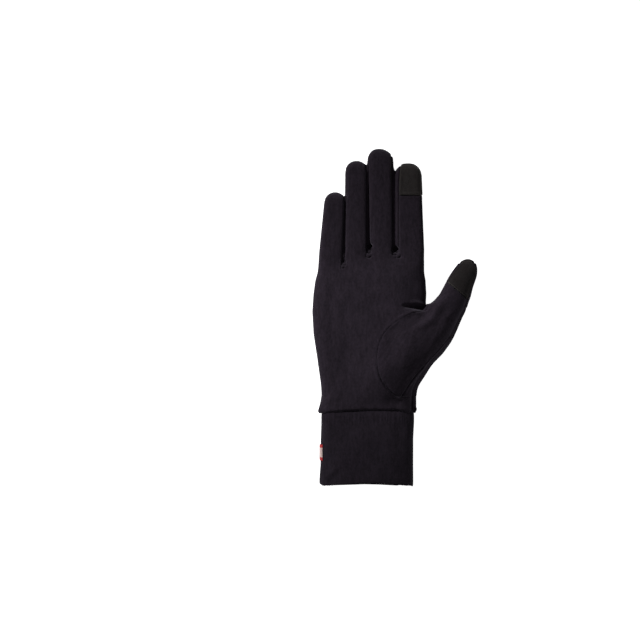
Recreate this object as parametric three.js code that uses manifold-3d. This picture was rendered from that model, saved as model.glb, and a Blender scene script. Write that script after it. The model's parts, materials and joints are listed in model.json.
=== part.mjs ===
// Glove liner for the right hand, lying on its back with the palm up.
// Millimetres. +Z is up, +Y points to the fingertips and +X to the thumb.
// The origin is on the surface that the glove lies on, under the middle of the hand.
// Each sewn piece is a thin curved wall of its own: the hand piece, which folds round the
// little finger's side, three fourchettes between the fingers, the side gusset along the
// forefinger, the front and back of the thumb, two touch tips, the doubled cuff and its tab.
import * as THREE from 'three';
import { mergeVertices } from 'three/addons/utils/BufferGeometryUtils.js';
import Module from 'manifold-3d';

const wasm = await Module();
wasm.setup();

// Fabric
const FABRIC = 1.2;
const CUFF_FABRIC = 2.0;
const SEAM = 0.3;

// Hand, from the cuff seam to the line of the finger roots
const HAND_LENGTH = 112;
const HAND_HEIGHT = 23;
const HAND_LEAN = 3;

// Cuff
const CUFF_LENGTH = 54.5;
const CUFF_WIDTH = 68;
const CUFF_HEIGHT = 19;
const CUFF_TUCK = 4;
const TUCK_INSET = 0.6;
const CUFF_RISE = 10;
const HEM_ROUND = 0.7;

// Fingers, from the little finger to the forefinger. Lengths start at the finger roots.
const FINGER_HEIGHT = 14;
const FINGER_GAP = 1.2;
const FINGER_OVERLAP = 14;
const FINGERS = {
  little: { length: 54.5, root: 18.4, tip: 15.4, lean: 3.6 },
  ring: { length: 77.3, root: 17.4, tip: 16.4, lean: 0.2 },
  middle: { length: 86.2, root: 17.8, tip: 19.0, lean: -1.9 },
  index: { length: 75.8, root: 21.4, tip: 19.0, lean: -1.6 },
};

// Webs between neighbouring fingers: how far each reaches past the finger roots
const WEBS = [
  { from: 'little', to: 'ring', reach: 1.0 },
  { from: 'ring', to: 'middle', reach: 10.2 },
  { from: 'middle', to: 'index', reach: 8.8 },
];

// Thumb: its axis starts in the heel of the hand and turns away from the fingers
const THUMB_LENGTH = 104.5;
const THUMB_WIDTH = 22.5;
const THUMB_HEIGHT = 20;
const THUMB_ANGLE = 29.6;
const THUMB_ROOT_IN = 9.8;
const THUMB_ROOT_UP = 24.3;

// Touch tips, sewn to the palm side of the forefinger and thumb
const INDEX_TIP_LENGTH = 24;
const THUMB_TIP_LENGTH = 23;

// Fourchettes: how wide each strip is, and the small diamond that ends it at the web
const FOURCHETTE_DEPTH = 2.4;
const FOURCHETTE_LOW = 3.6;
const FOURCHETTE_HIGH = 11.0;
const DIAMOND_WIDTH = 5.0;
const DIAMOND_LENGTH = 6.0;

// Side gusset
const GUSSET_EDGE = 1.1;
const GUSSET_HIGH = 10.2;
const THUMB_SPLIT = 7.5;
const WEB_LAP = 3;

// Woven tab on the little finger's side of the cuff
const TAB_LENGTH = 12;
const TAB_HEIGHT = 9;
const TAB_THICKNESS = 0.6;
const TAB_FROM_HEM = 19;

// How square the sections are, how much of each is flattened underneath, and their sides
const SQUARENESS = 2.5;
const FLATTENED = 0.75;
const FINGER_SIDES = 16;
const HAND_SIDES = 28;
const TIP_CENTRE = 0.4;

// Hand sections. blend runs from the cuff's width to the finger row's width, left and right
// add to it as shares of that row, and height is a share of the hand's height.
const HAND_SECTIONS = [
  { along: 0.0, blend: 0.0, left: 0.0, right: 0.0, height: 0.957 },
  { along: 0.07, blend: 0.0, left: -0.008, right: -0.006, height: 0.94 },
  { along: 0.2, blend: 0.2, left: -0.015, right: -0.01, height: 0.93 },
  { along: 0.36, blend: 0.45, left: 0.01, right: -0.006, height: 0.98 },
  { along: 0.53, blend: 0.7, left: 0.045, right: 0.004, height: 1.0 },
  { along: 0.68, blend: 0.85, left: 0.056, right: 0.018, height: 0.96 },
  { along: 0.8, blend: 0.95, left: 0.044, right: 0.018, height: 0.87 },
  { along: 0.92, blend: 1.0, left: 0.02, right: 0.008, height: 0.72 },
  { along: 1.0, blend: 1.0, left: -0.004, right: -0.004, height: 0.59 },
];

// Thumb sections, square to its axis. inner and outer are shares of the thumb's width.
const THUMB_SECTIONS = [
  { along: -0.07, inner: -0.2, outer: 0.22, height: 0.8 },
  { along: 0.0, inner: -0.47, outer: 0.5, height: 0.92 },
  { along: 0.1, inner: -0.7, outer: 0.55, height: 0.98 },
  { along: 0.21, inner: -0.84, outer: 0.58, height: 1.0 },
  { along: 0.31, inner: -0.82, outer: 0.7, height: 1.0 },
  { along: 0.41, inner: -0.72, outer: 0.745, height: 0.98 },
  { along: 0.5, inner: -0.58, outer: 0.71, height: 0.94 },
  { along: 0.57, inner: -0.45, outer: 0.67, height: 0.9 },
  { along: 0.66, inner: -0.36, outer: 0.64, height: 0.85 },
  { along: 0.76, inner: -0.32, outer: 0.58, height: 0.8 },
  { along: 0.876, inner: -0.33, outer: 0.43, height: 0.74 },
];

// Seam round the heel of the thumb on the palm, in the thumb's own along and side shares
const PALM_SEAM = [
  { along: -0.098, side: 0.27 },
  { along: -0.11, side: 0.07 },
  { along: -0.095, side: -0.35 },
  { along: -0.045, side: -0.75 },
  { along: 0.04, side: -1.07 },
  { along: 0.14, side: -1.27 },
  { along: 0.24, side: -1.31 },
  { along: 0.35, side: -1.15 },
  { along: 0.46, side: -0.9 },
  { along: 0.57, side: -0.6 },
];

// Seam up the outer side of the thumb, from the heel until it passes out of sight
const OUTER_SEAM = [
  { along: -0.098, side: 0.27 },
  { along: 0.0, side: 0.31 },
  { along: 0.11, side: 0.38 },
  { along: 0.22, side: 0.5 },
  { along: 0.33, side: 0.65 },
  { along: 0.44, side: 0.76 },
];

// Seam between the side gusset and the back of the thumb, on the underside
const BACK_SEAM = [
  { along: -0.058, side: 0.66 },
  { along: 0.034, side: 0.5 },
  { along: 0.148, side: 0.35 },
  { along: 0.262, side: 0.2 },
  { along: 0.362, side: 0.07 },
  { along: 0.441, side: -0.08 },
  { along: 0.513, side: -0.31 },
  { along: 0.562, side: -0.52 },
];

const FAR = 200;
const CAP_ANGLES = [28, 50, 68, 82].map(THREE.MathUtils.degToRad);

const lerp = THREE.MathUtils.lerp;
const fingerNames = Object.keys(FINGERS);
const cuffSeamY = -HAND_LENGTH / 2;
const rootsY = HAND_LENGTH / 2;
const hemY = cuffSeamY - CUFF_LENGTH;
const cuffSeat = FABRIC + SEAM;
const cuffEndHalf = CUFF_WIDTH / 2 + cuffSeat;

// The fingers stand side by side across the hand
const rowWidth =
  fingerNames.reduce((sum, name) => sum + FINGERS[name].root, 0) + FINGER_GAP * (fingerNames.length - 1);
const rowLeft = HAND_LEAN - rowWidth / 2;
const rowRight = HAND_LEAN + rowWidth / 2;
let nextLeft = rowLeft;
for (const name of fingerNames) {
  FINGERS[name].centre = nextLeft + FINGERS[name].root / 2;
  nextLeft += FINGERS[name].root + FINGER_GAP;
}

// A closed geometry becomes a solid, and a solid becomes a mesh's geometry again
function solidOf(geometry) {
  const bare = geometry.clone();
  bare.deleteAttribute('normal');
  bare.deleteAttribute('uv');
  const merged = mergeVertices(bare, 1e-5);
  return new wasm.Manifold(
    new wasm.Mesh({
      numProp: 3,
      vertProperties: Float32Array.from(merged.attributes.position.array),
      triVerts: Uint32Array.from(merged.index.array),
    }),
  );
}

function geometryOf(solid) {
  const mesh = solid.getMesh();
  const geometry = new THREE.BufferGeometry();
  geometry.setAttribute('position', new THREE.BufferAttribute(Float32Array.from(mesh.vertProperties), 3));
  geometry.setIndex(new THREE.BufferAttribute(Uint32Array.from(mesh.triVerts), 1));
  geometry.computeVertexNormals();
  return geometry;
}

// Cutting thin walls can leave crumbs beside a piece, so the piece is the largest body
function largest(solid) {
  const bodies = solid.decompose();
  bodies.sort((a, b) => b.volume() - a.volume());
  return bodies[0];
}

// One section: a rounded oblong that is flat underneath, as [across, up] pairs
function section(width, height, base, sides) {
  const points = [];
  for (let k = 0; k < sides; k++) {
    const angle = (2 * Math.PI * k) / sides;
    const round = (value) => Math.sign(value) * Math.abs(value) ** (2 / SQUARENESS);
    const up = Math.max(round(Math.sin(angle)), -FLATTENED);
    points.push([(width / 2) * round(Math.cos(angle)), base + (height * (up + FLATTENED)) / (1 + FLATTENED)]);
  }
  return points;
}

// A closed skin through rings that all have the same number of points
function loft(rings) {
  const sides = rings[0].length;
  const index = [];
  for (let r = 0; r + 1 < rings.length; r++) {
    for (let k = 0; k < sides; k++) {
      const here = r * sides + k;
      const next = r * sides + ((k + 1) % sides);
      index.push(here, here + sides, next, next, here + sides, next + sides);
    }
  }
  const last = (rings.length - 1) * sides;
  for (let k = 1; k + 1 < sides; k++) {
    index.push(0, k, k + 1);
    index.push(last, last + k + 1, last + k);
  }
  const geometry = new THREE.BufferGeometry();
  geometry.setAttribute('position', new THREE.Float32BufferAttribute(rings.flat(2), 3));
  geometry.setIndex(index);
  return solidOf(geometry);
}

// A ring across the hand at y, from left to right
function ringAcross(y, left, right, height, base, sides) {
  const centre = (left + right) / 2;
  return section(right - left, height, base, sides).map(([across, up]) => [centre + across, y, up]);
}

// The hand's edges at a share of its length
function handEdges(row) {
  return {
    left: lerp(-cuffEndHalf, rowLeft, row.blend) - row.left * rowWidth,
    right: lerp(cuffEndHalf, rowRight, row.blend) + row.right * rowWidth,
  };
}

function handEdgeAt(y, side) {
  const share = (y - cuffSeamY) / HAND_LENGTH;
  const next = Math.max(1, HAND_SECTIONS.findIndex((row) => row.along >= share));
  const a = HAND_SECTIONS[next - 1];
  const b = HAND_SECTIONS[next];
  return lerp(handEdges(a)[side], handEdges(b)[side], (share - a.along) / (b.along - a.along));
}

function handForm(inset) {
  const rings = HAND_SECTIONS.map((row, n) => {
    const { left, right } = handEdges(row);
    const open = n === 0 && inset > 0 ? 1 : 0;
    const end = n === HAND_SECTIONS.length - 1 ? inset : 0;
    const y = cuffSeamY + HAND_LENGTH * row.along - open - end;
    return ringAcross(y, left + inset, right - inset, HAND_HEIGHT * row.height - 2 * inset, inset, HAND_SIDES);
  });
  return loft(rings);
}

// A finger's left and right edge at a height above the roots
function fingerEdges(finger, up) {
  const share = THREE.MathUtils.clamp(up / (finger.length - finger.tip / 2), 0, 1);
  const centre = finger.centre + (finger.lean * Math.max(up, 0)) / finger.length;
  const half = lerp(finger.root, finger.tip, share) / 2;
  return { left: centre - half, right: centre + half };
}

function fingerForm(finger, inset) {
  const cap = finger.tip / 2 - inset;
  const straight = finger.length - finger.tip / 2;
  const height = FINGER_HEIGHT - 2 * inset;
  const ring = (up, share) => {
    const { left, right } = fingerEdges(finger, up);
    const centre = (left + right) / 2;
    const half = ((right - left) / 2 - inset) * share;
    const base = inset + height * TIP_CENTRE * (1 - share);
    return ringAcross(rootsY + up, centre - half, centre + half, height * share, base, FINGER_SIDES);
  };
  return loft([
    ring(-FINGER_OVERLAP, 1),
    ring(0, 1),
    ring(straight * 0.45, 1),
    ring(straight, 1),
    ...CAP_ANGLES.map((angle) => ring(straight + cap * Math.sin(angle), Math.cos(angle))),
  ]);
}

// A web fills the notch between two fingers up to the crotch
function webForm(web, inset) {
  const left = FINGERS[web.from].centre;
  const right = FINGERS[web.to].centre;
  const height = FINGER_HEIGHT * 0.94 - 2 * inset;
  const ring = (up, share) =>
    ringAcross(rootsY + up, left, right, height * share, inset + (height * (1 - share)) / 2, FINGER_SIDES);
  const top = web.reach - inset;
  return loft([ring(-FINGER_OVERLAP, 1), ring(top - 2, 1), ring(top, 0.6)]);
}

// The thumb's own frame: a point along its axis and to its outer side
const thumbDirection = THREE.MathUtils.degToRad(THUMB_ANGLE);
const thumbRoot = { x: cuffEndHalf - THUMB_ROOT_IN, y: cuffSeamY + THUMB_ROOT_UP };

function thumbPoint(along, side) {
  return [
    thumbRoot.x + along * Math.sin(thumbDirection) + side * Math.cos(thumbDirection),
    thumbRoot.y + along * Math.cos(thumbDirection) - side * Math.sin(thumbDirection),
  ];
}

function thumbForm(inset) {
  const ring = (along, inner, outer, height, base) => {
    const middle = (inner + outer) / 2;
    return section(outer - inner, height, base, FINGER_SIDES).map(([across, up]) => {
      const [x, y] = thumbPoint(along, middle + across);
      return [x, y, up];
    });
  };
  const rings = THUMB_SECTIONS.map((row) =>
    ring(
      THUMB_LENGTH * row.along,
      THUMB_WIDTH * row.inner + inset,
      THUMB_WIDTH * row.outer - inset,
      THUMB_HEIGHT * row.height - 2 * inset,
      inset,
    ),
  );
  const end = THUMB_SECTIONS.at(-1);
  const middle = (THUMB_WIDTH * (end.inner + end.outer)) / 2;
  const half = (THUMB_WIDTH * (end.outer - end.inner)) / 2 - inset;
  const height = THUMB_HEIGHT * end.height - 2 * inset;
  const straight = THUMB_LENGTH * end.along;
  const cap = THUMB_LENGTH - straight - inset;
  for (const angle of CAP_ANGLES) {
    const share = Math.cos(angle);
    const base = inset + height * TIP_CENTRE * (1 - share);
    rings.push(
      ring(straight + cap * Math.sin(angle), middle - half * share, middle + half * share, height * share, base),
    );
  }
  return loft(rings);
}

// The whole outer form, or the hollow inside it
function gloveForm(inset) {
  let form = handForm(inset).add(thumbForm(inset));
  for (const name of fingerNames) form = form.add(fingerForm(FINGERS[name], inset));
  for (const web of WEBS) form = form.add(webForm(web, inset));
  return form;
}

// A cutter: an outline in plan, given as [x, y] pairs, raised from low to high
function prism(outline, low, high) {
  const shape = new THREE.Shape(outline.map(([x, y]) => new THREE.Vector2(x, y)));
  const geometry = new THREE.ExtrudeGeometry(shape, { depth: high - low, bevelEnabled: false, steps: 1 });
  geometry.translate(0, 0, low);
  return solidOf(geometry);
}

// A smooth line through a seam's points, in plan
function seamLine(points, steps) {
  const curve = new THREE.SplineCurve(
    points.map((p) => new THREE.Vector2(...thumbPoint(p.along * THUMB_LENGTH, p.side * THUMB_WIDTH))),
  );
  return curve.getPoints(steps).map((p) => [p.x, p.y]);
}

// Moves a line sideways, to the left of its direction where the distance is positive, and
// lengthens both ends by as much
function shifted(line, distance) {
  return line.map(([x, y], n) => {
    const before = line[Math.max(n - 1, 0)];
    const after = line[Math.min(n + 1, line.length - 1)];
    const run = Math.hypot(after[0] - before[0], after[1] - before[1]);
    const [alongX, alongY] = [(after[0] - before[0]) / run, (after[1] - before[1]) / run];
    const past = (n === line.length - 1) - (n === 0);
    const stretch = past * Math.abs(distance);
    return [x - distance * alongY + stretch * alongX, y + distance * alongX + stretch * alongY];
  });
}

// A strip down one side of a finger, from the crotch to where the tip turns round
function sideStrip(finger, side, from, depth, outward, low, high, grow) {
  const sign = side === 'right' ? 1 : -1;
  const to = finger.length - finger.tip * 0.2;
  const inner = [];
  const outer = [];
  for (const share of [0, 0.33, 0.66, 1]) {
    const up = lerp(from - grow, to + grow, share);
    const edge = fingerEdges(finger, up)[side];
    inner.push([edge - sign * (depth + grow), rootsY + up]);
    outer.push([edge + sign * (outward + grow), rootsY + up]);
  }
  const outline = [...inner, ...outer.reverse()];
  return prism(outline, low - grow, high + grow);
}

function fourchetteCutter(web, grow) {
  const from = FINGERS[web.from];
  const to = FINGERS[web.to];
  const crotch = web.reach;
  const outward = FINGER_GAP / 2;
  const left = fingerEdges(from, crotch).right;
  const right = fingerEdges(to, crotch).left;
  const x = (left + right) / 2;
  const y = rootsY + crotch;
  const half = DIAMOND_WIDTH / 2 + grow;
  const diamond = prism(
    [
      [x, y - DIAMOND_LENGTH - grow],
      [x + half, y - DIAMOND_LENGTH / 2],
      [x + half, y + FABRIC],
      [x - half, y + FABRIC],
      [x - half, y - DIAMOND_LENGTH / 2],
    ],
    -1,
    FAR,
  );
  return sideStrip(from, 'right', crotch, FOURCHETTE_DEPTH, outward, FOURCHETTE_LOW, FOURCHETTE_HIGH, grow)
    .add(sideStrip(to, 'left', crotch, FOURCHETTE_DEPTH, outward, FOURCHETTE_LOW, FOURCHETTE_HIGH, grow))
    .add(diamond);
}

// The thumb's side of a seam that runs up the glove, with the seam lengthened past the thumb's tip
function thumbSide(points, grow, low, high) {
  const line = shifted(seamLine(points, 18), grow);
  const end = points.at(-1);
  return prism(
    [
      [FAR, line[0][1]],
      [FAR, FAR],
      thumbPoint(2 * THUMB_LENGTH, end.side * THUMB_WIDTH - grow),
      ...line.reverse(),
    ],
    low,
    high,
  );
}

// The side gusset: on the underside between the hand's edge and the back seam of the thumb,
// then up the outer side of the forefinger
function gussetCutter(grow) {
  const web = BACK_SEAM.at(-1);
  const webY = thumbPoint(web.along * THUMB_LENGTH, web.side * THUMB_WIDTH)[1];
  const handStrip = (fromY, toY, outward, high) => {
    const wall = [];
    const outside = [];
    for (const share of [0, 0.2, 0.4, 0.6, 0.8, 1]) {
      const y = lerp(fromY, toY, share);
      const x = handEdgeAt(THREE.MathUtils.clamp(y, cuffSeamY, rootsY), 'right');
      wall.push([x - GUSSET_EDGE - grow, y]);
      outside.push([x + outward + grow, y]);
    }
    return prism([...outside, ...wall.reverse()], -1, high + grow);
  };
  const low = handStrip(cuffSeamY - 1, webY + grow, THUMB_WIDTH, THUMB_SPLIT).subtract(
    thumbSide(BACK_SEAM, -grow, -2, FAR),
  );
  const middle = handStrip(webY - WEB_LAP - grow, rootsY + 1, FABRIC, GUSSET_HIGH);
  const high = sideStrip(FINGERS.index, 'right', 0, GUSSET_EDGE, FABRIC, -1, GUSSET_HIGH, grow);
  return low.add(middle).add(high);
}

// Everything that belongs to the thumb: the heel on the palm side, and past the back seam below
function thumbCutter(grow) {
  const top = thumbSide(PALM_SEAM, grow, THUMB_SPLIT - grow, FAR);
  const below = thumbSide(BACK_SEAM, grow, -1, THUMB_SPLIT + grow);
  return top.add(below);
}

// The back of the thumb: below the split, and outside the outer seam above it
function thumbBackCutter(grow) {
  const outer = shifted(seamLine(OUTER_SEAM, 12), grow);
  const strip = prism([...outer, [FAR, outer.at(-1)[1]], [FAR, outer[0][1] - 3], [outer[0][0], outer[0][1] - 3]], -1, FAR);
  const below = prism([[-FAR, -FAR], [FAR, -FAR], [FAR, FAR], [-FAR, FAR]], -1, THUMB_SPLIT + grow);
  return strip.add(below);
}

// The part of the thumb past a share of its length, on the palm side
function thumbTipCutter(grow) {
  const from = THUMB_LENGTH - THUMB_TIP_LENGTH - grow;
  const outline = [
    thumbPoint(from, -THUMB_WIDTH),
    thumbPoint(from, THUMB_WIDTH),
    thumbPoint(THUMB_LENGTH + 5, THUMB_WIDTH),
    thumbPoint(THUMB_LENGTH + 5, -THUMB_WIDTH),
  ];
  return prism(outline, THUMB_SPLIT - grow, FAR);
}

function indexTipCutter(grow) {
  const finger = FINGERS.index;
  const low = rootsY + finger.length - INDEX_TIP_LENGTH - grow;
  const { left, right } = fingerEdges(finger, finger.length);
  return prism(
    [
      [left - FINGER_GAP / 2, low],
      [right + FINGER_GAP, low],
      [right + FINGER_GAP, low + 2 * INDEX_TIP_LENGTH],
      [left - FINGER_GAP / 2, low + 2 * INDEX_TIP_LENGTH],
    ],
    FINGER_HEIGHT * 0.5 - grow,
    FAR,
  );
}

// The cuff: a doubled band, tucked into the hand at its top and rounded at its hem
function cuffForm(inset, past) {
  const ring = (y, base, pull) =>
    ringAcross(
      y,
      -CUFF_WIDTH / 2 + inset + pull,
      CUFF_WIDTH / 2 - inset - pull,
      CUFF_HEIGHT + cuffSeat - base - 2 * inset - 2 * pull,
      base + inset + pull,
      HAND_SIDES,
    );
  const lip = inset > 0 ? -HEM_ROUND : HEM_ROUND;
  return loft([
    ring(hemY - past, 0, lip),
    ring(hemY, 0, lip),
    ring(hemY + HEM_ROUND, 0, 0),
    ring(cuffSeamY - CUFF_RISE, 0, 0),
    ring(cuffSeamY - 1, cuffSeat, 0),
    ring(cuffSeamY + CUFF_TUCK + past, cuffSeat, TUCK_INSET),
  ].slice(past > 0 ? 0 : 1));
}

function tabForm() {
  const y = hemY + TAB_FROM_HEM;
  const z = (CUFF_HEIGHT + cuffSeat - TAB_HEIGHT) / 2;
  const window = prism([[-FAR, y], [0, y], [0, y + TAB_LENGTH], [-FAR, y + TAB_LENGTH]], z, z + TAB_HEIGHT);
  return cuffForm(-SEAM - TAB_THICKNESS, 0).subtract(cuffForm(-SEAM, 1)).intersect(window);
}

// Fabrics
const jersey = new THREE.MeshStandardMaterial({ color: 0x262027, roughness: 0.9, metalness: 0 });
const cuffJersey = new THREE.MeshStandardMaterial({ color: 0x211c23, roughness: 0.9, metalness: 0 });
const touchFabric = new THREE.MeshStandardMaterial({ color: 0x2c2826, roughness: 0.8, metalness: 0 });
const tabRed = new THREE.MeshStandardMaterial({ color: 0xc8282d, roughness: 0.6, metalness: 0 });

const glove = new THREE.Group();

function addPiece(name, solid, material) {
  const mesh = new THREE.Mesh(geometryOf(largest(solid)), material);
  mesh.name = name;
  glove.add(mesh);
}

// The glove's wall, from which the sewn pieces are cut one after another
let wall = gloveForm(0).subtract(gloveForm(FABRIC));

function cutPiece(name, cutter, material) {
  addPiece(name, wall.intersect(cutter(0)), material);
  wall = wall.subtract(cutter(SEAM));
}

for (const web of WEBS) {
  cutPiece(`fourchette_${web.from}_${web.to}`, (grow) => fourchetteCutter(web, grow), jersey);
}
cutPiece('side_gusset', gussetCutter, jersey);
cutPiece('thumb_touch_tip', thumbTipCutter, touchFabric);
cutPiece('index_touch_tip', indexTipCutter, touchFabric);
cutPiece('thumb_back', (grow) => thumbCutter(grow).intersect(thumbBackCutter(grow)), jersey);
cutPiece('thumb_front', thumbCutter, jersey);
addPiece('hand_piece', wall, jersey);
addPiece('cuff', cuffForm(0, 0).subtract(cuffForm(CUFF_FABRIC, 1)), cuffJersey);
addPiece('side_tab', tabForm(), tabRed);

export default glove;
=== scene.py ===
"""Looks of a thin knitted glove liner for the right hand, lying on its back with the palm up.

Tables and sculpting are in millimetres and Blender's objects in metres. +Z is up, +Y points to
the fingertips and +X to the thumb. The glove's skin is one smooth form, sculpted with its folds
and then cut along its seams into the sewn pieces, each with its own thickness and rolled edges.
"""

import json
import math

import bpy
import numpy as np
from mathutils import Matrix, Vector
from mathutils.kdtree import KDTree

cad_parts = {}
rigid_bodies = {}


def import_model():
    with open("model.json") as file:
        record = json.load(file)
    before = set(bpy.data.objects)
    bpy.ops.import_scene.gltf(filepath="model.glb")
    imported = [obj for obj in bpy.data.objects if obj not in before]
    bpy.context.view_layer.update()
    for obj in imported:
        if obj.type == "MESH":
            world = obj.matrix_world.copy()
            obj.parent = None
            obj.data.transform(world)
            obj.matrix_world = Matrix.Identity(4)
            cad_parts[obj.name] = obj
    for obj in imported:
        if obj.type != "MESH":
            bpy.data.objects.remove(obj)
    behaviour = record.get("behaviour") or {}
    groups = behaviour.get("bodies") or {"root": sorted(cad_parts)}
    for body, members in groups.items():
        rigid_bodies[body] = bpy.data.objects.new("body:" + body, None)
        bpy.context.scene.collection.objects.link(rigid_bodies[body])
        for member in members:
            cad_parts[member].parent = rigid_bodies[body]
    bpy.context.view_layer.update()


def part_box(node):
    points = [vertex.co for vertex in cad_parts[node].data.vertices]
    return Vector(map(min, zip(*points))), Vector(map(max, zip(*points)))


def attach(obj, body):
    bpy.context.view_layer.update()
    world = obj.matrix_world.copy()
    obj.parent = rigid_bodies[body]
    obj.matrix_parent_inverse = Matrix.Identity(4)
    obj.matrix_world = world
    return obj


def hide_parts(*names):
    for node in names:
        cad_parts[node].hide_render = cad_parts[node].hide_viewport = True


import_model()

MM = 0.001

# Sizes read from the frame
hand_low, hand_high = (np.array(corner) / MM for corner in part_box("hand_piece"))
cuff_low, cuff_high = (np.array(corner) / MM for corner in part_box("cuff"))
tab_low, tab_high = (np.array(corner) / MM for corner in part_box("side_tab"))
SEAM_Y = hand_low[1]
ROOTS_Y = -SEAM_Y
HAND_LENGTH = ROOTS_Y - SEAM_Y
HAND_HEIGHT = hand_high[2]
CUFF_HALF = (cuff_high[0] - cuff_low[0]) / 2
HEM_Y = cuff_low[1]

# Hand
HAND_LEAN = 3
HAND_END_HALF = CUFF_HALF + 1.5
END_SPARE = 8

# Fingers, from the little finger to the forefinger, and the webs between them. depths is how far
# in from their edges the strip between two fingers is sewn on. A finger's tube starts inside the
# hand, narrower, flatter and raised, and its inset is a share of its overlap.
FINGER_HEIGHT = 14.2
FINGER_GAP = 1.2
FINGER_OVERLAP = 14
FINGER_START = {"inset": 0.3, "height": 0.7, "lift": 0.15}
FINGERS = {
    "little": {"length": 54.1, "root": 18.4, "tip": 15.4, "lean": 3.6, "corner": 0.42},
    "ring": {"length": 77.7, "root": 17.4, "tip": 16.4, "lean": 0.2, "corner": 0.55},
    "middle": {"length": 86.8, "root": 17.8, "tip": 19.0, "lean": -1.1, "corner": 0.55, "nose": -1.0},
    "index": {"length": 75.8, "root": 21.4, "tip": 19.0, "lean": -1.6, "corner": 0.5},
}
WEBS = [
    {"from": "little", "to": "ring", "reach": 1.0, "depths": (0.5, 0.2)},
    {"from": "ring", "to": "middle", "reach": 10.2, "depths": (1.2, 0.2)},
    {"from": "middle", "to": "index", "reach": 8.8, "depths": (1.2, 2.2)},
]

# The end of a web: how far below its top, and its height and lift in shares of the web's height,
# which is a share of the fingers'
WEB_HEIGHT = 0.92
WEB_SECTIONS = [(3, 0.96, 0), (1, 0.8, 0.1), (0, 0.5, 0.25)]

# Thumb
THUMB_LENGTH = 105.8
THUMB_WIDTH = 22.5
THUMB_HEIGHT = 20
THUMB_ANGLE = math.radians(29.6)
THUMB_ROOT = (HAND_END_HALF - 9.8, SEAM_Y + 24.3)

# Seams
INDEX_TIP_LENGTH = 24.8
GUSSET_EDGE = 1.4
THUMB_SPLIT = 7.5
FAR = 200

# Fabric
SKIN_STEP = 0.9
CLOTH = 0.9
CUFF_CLOTH = 1.8
WALL_TRIANGLES = 95000

# The ovals of the tubes: how round their corners are, and their radius and centre in shares of
# their height. What lies below the floor is cut away flat.
CORNER = 0.86
CORNER_STEPS = 9
OVAL_RADIUS = 0.5714
OVAL_CENTRE = 0.4286

# Sections across the hand and the thumb, in shares of the sizes above
HAND_SECTIONS = [
    {"along": 0.0, "blend": 0.0, "left": 0.017, "right": 0.01, "height": 0.957},
    {"along": 0.06, "blend": 0.0, "left": -0.008, "right": 0.01, "height": 0.9},
    {"along": 0.12, "blend": 0.1, "left": -0.025, "right": 0.008, "height": 0.87},
    {"along": 0.2, "blend": 0.2, "left": -0.018, "right": 0.008, "height": 0.85},
    {"along": 0.36, "blend": 0.45, "left": 0.01, "right": -0.006, "height": 0.865},
    {"along": 0.53, "blend": 0.7, "left": 0.045, "right": 0.004, "height": 0.875},
    {"along": 0.68, "blend": 0.85, "left": 0.056, "right": 0.018, "height": 0.855},
    {"along": 0.8, "blend": 0.95, "left": 0.044, "right": 0.018, "height": 0.81},
    {"along": 0.92, "blend": 1.0, "left": 0.02, "right": 0.008, "height": 0.72},
    {"along": 1.0, "blend": 1.0, "left": 0.0, "right": 0.0, "height": 0.62},
]
THUMB_SECTIONS = [
    {"along": -0.07, "inner": -0.2, "outer": 0.38, "height": 0.8},
    {"along": 0.0, "inner": -0.47, "outer": 0.57, "height": 0.92},
    {"along": 0.1, "inner": -0.7, "outer": 0.6, "height": 0.98},
    {"along": 0.21, "inner": -0.84, "outer": 0.61, "height": 1.0},
    {"along": 0.31, "inner": -0.82, "outer": 0.73, "height": 1.0},
    {"along": 0.41, "inner": -0.72, "outer": 0.775, "height": 0.98},
    {"along": 0.5, "inner": -0.58, "outer": 0.74, "height": 0.94},
    {"along": 0.57, "inner": -0.45, "outer": 0.7, "height": 0.9},
    {"along": 0.66, "inner": -0.36, "outer": 0.67, "height": 0.85},
    {"along": 0.76, "inner": -0.375, "outer": 0.59, "height": 0.8},
    {"along": 0.82, "inner": -0.41, "outer": 0.505, "height": 0.77},
    {"along": 0.88, "inner": -0.385, "outer": 0.455, "height": 0.74},
]
CAP_ANGLES = [math.radians(angle) for angle in (20, 36, 50, 62, 72, 80)]
TIP_CENTRE = 0.4

# Seams of the thumb, in shares of its length and width, from the heel upwards
PALM_SEAM = [
    (-0.098, 0.27),
    (-0.11, 0.07),
    (-0.095, -0.35),
    (-0.045, -0.75),
    (0.04, -1.07),
    (0.14, -1.27),
    (0.24, -1.31),
    (0.345, -1.17),
    (0.4, -1.02),
    (0.449, -0.836),
    (0.4925, -0.62),
    (0.533, -0.464),
    (0.671, -0.8),
]
OUTER_SEAM = [(-0.098, 0.27), (0.0, 0.31), (0.11, 0.38), (0.22, 0.5), (0.33, 0.65), (0.44, 0.76)]
BACK_SEAM = [
    (-0.058, 0.66),
    (0.034, 0.5),
    (0.148, 0.35),
    (0.262, 0.2),
    (0.362, 0.07),
    (0.441, -0.08),
    (0.513, -0.31),
    (0.562, -0.52),
]

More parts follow.
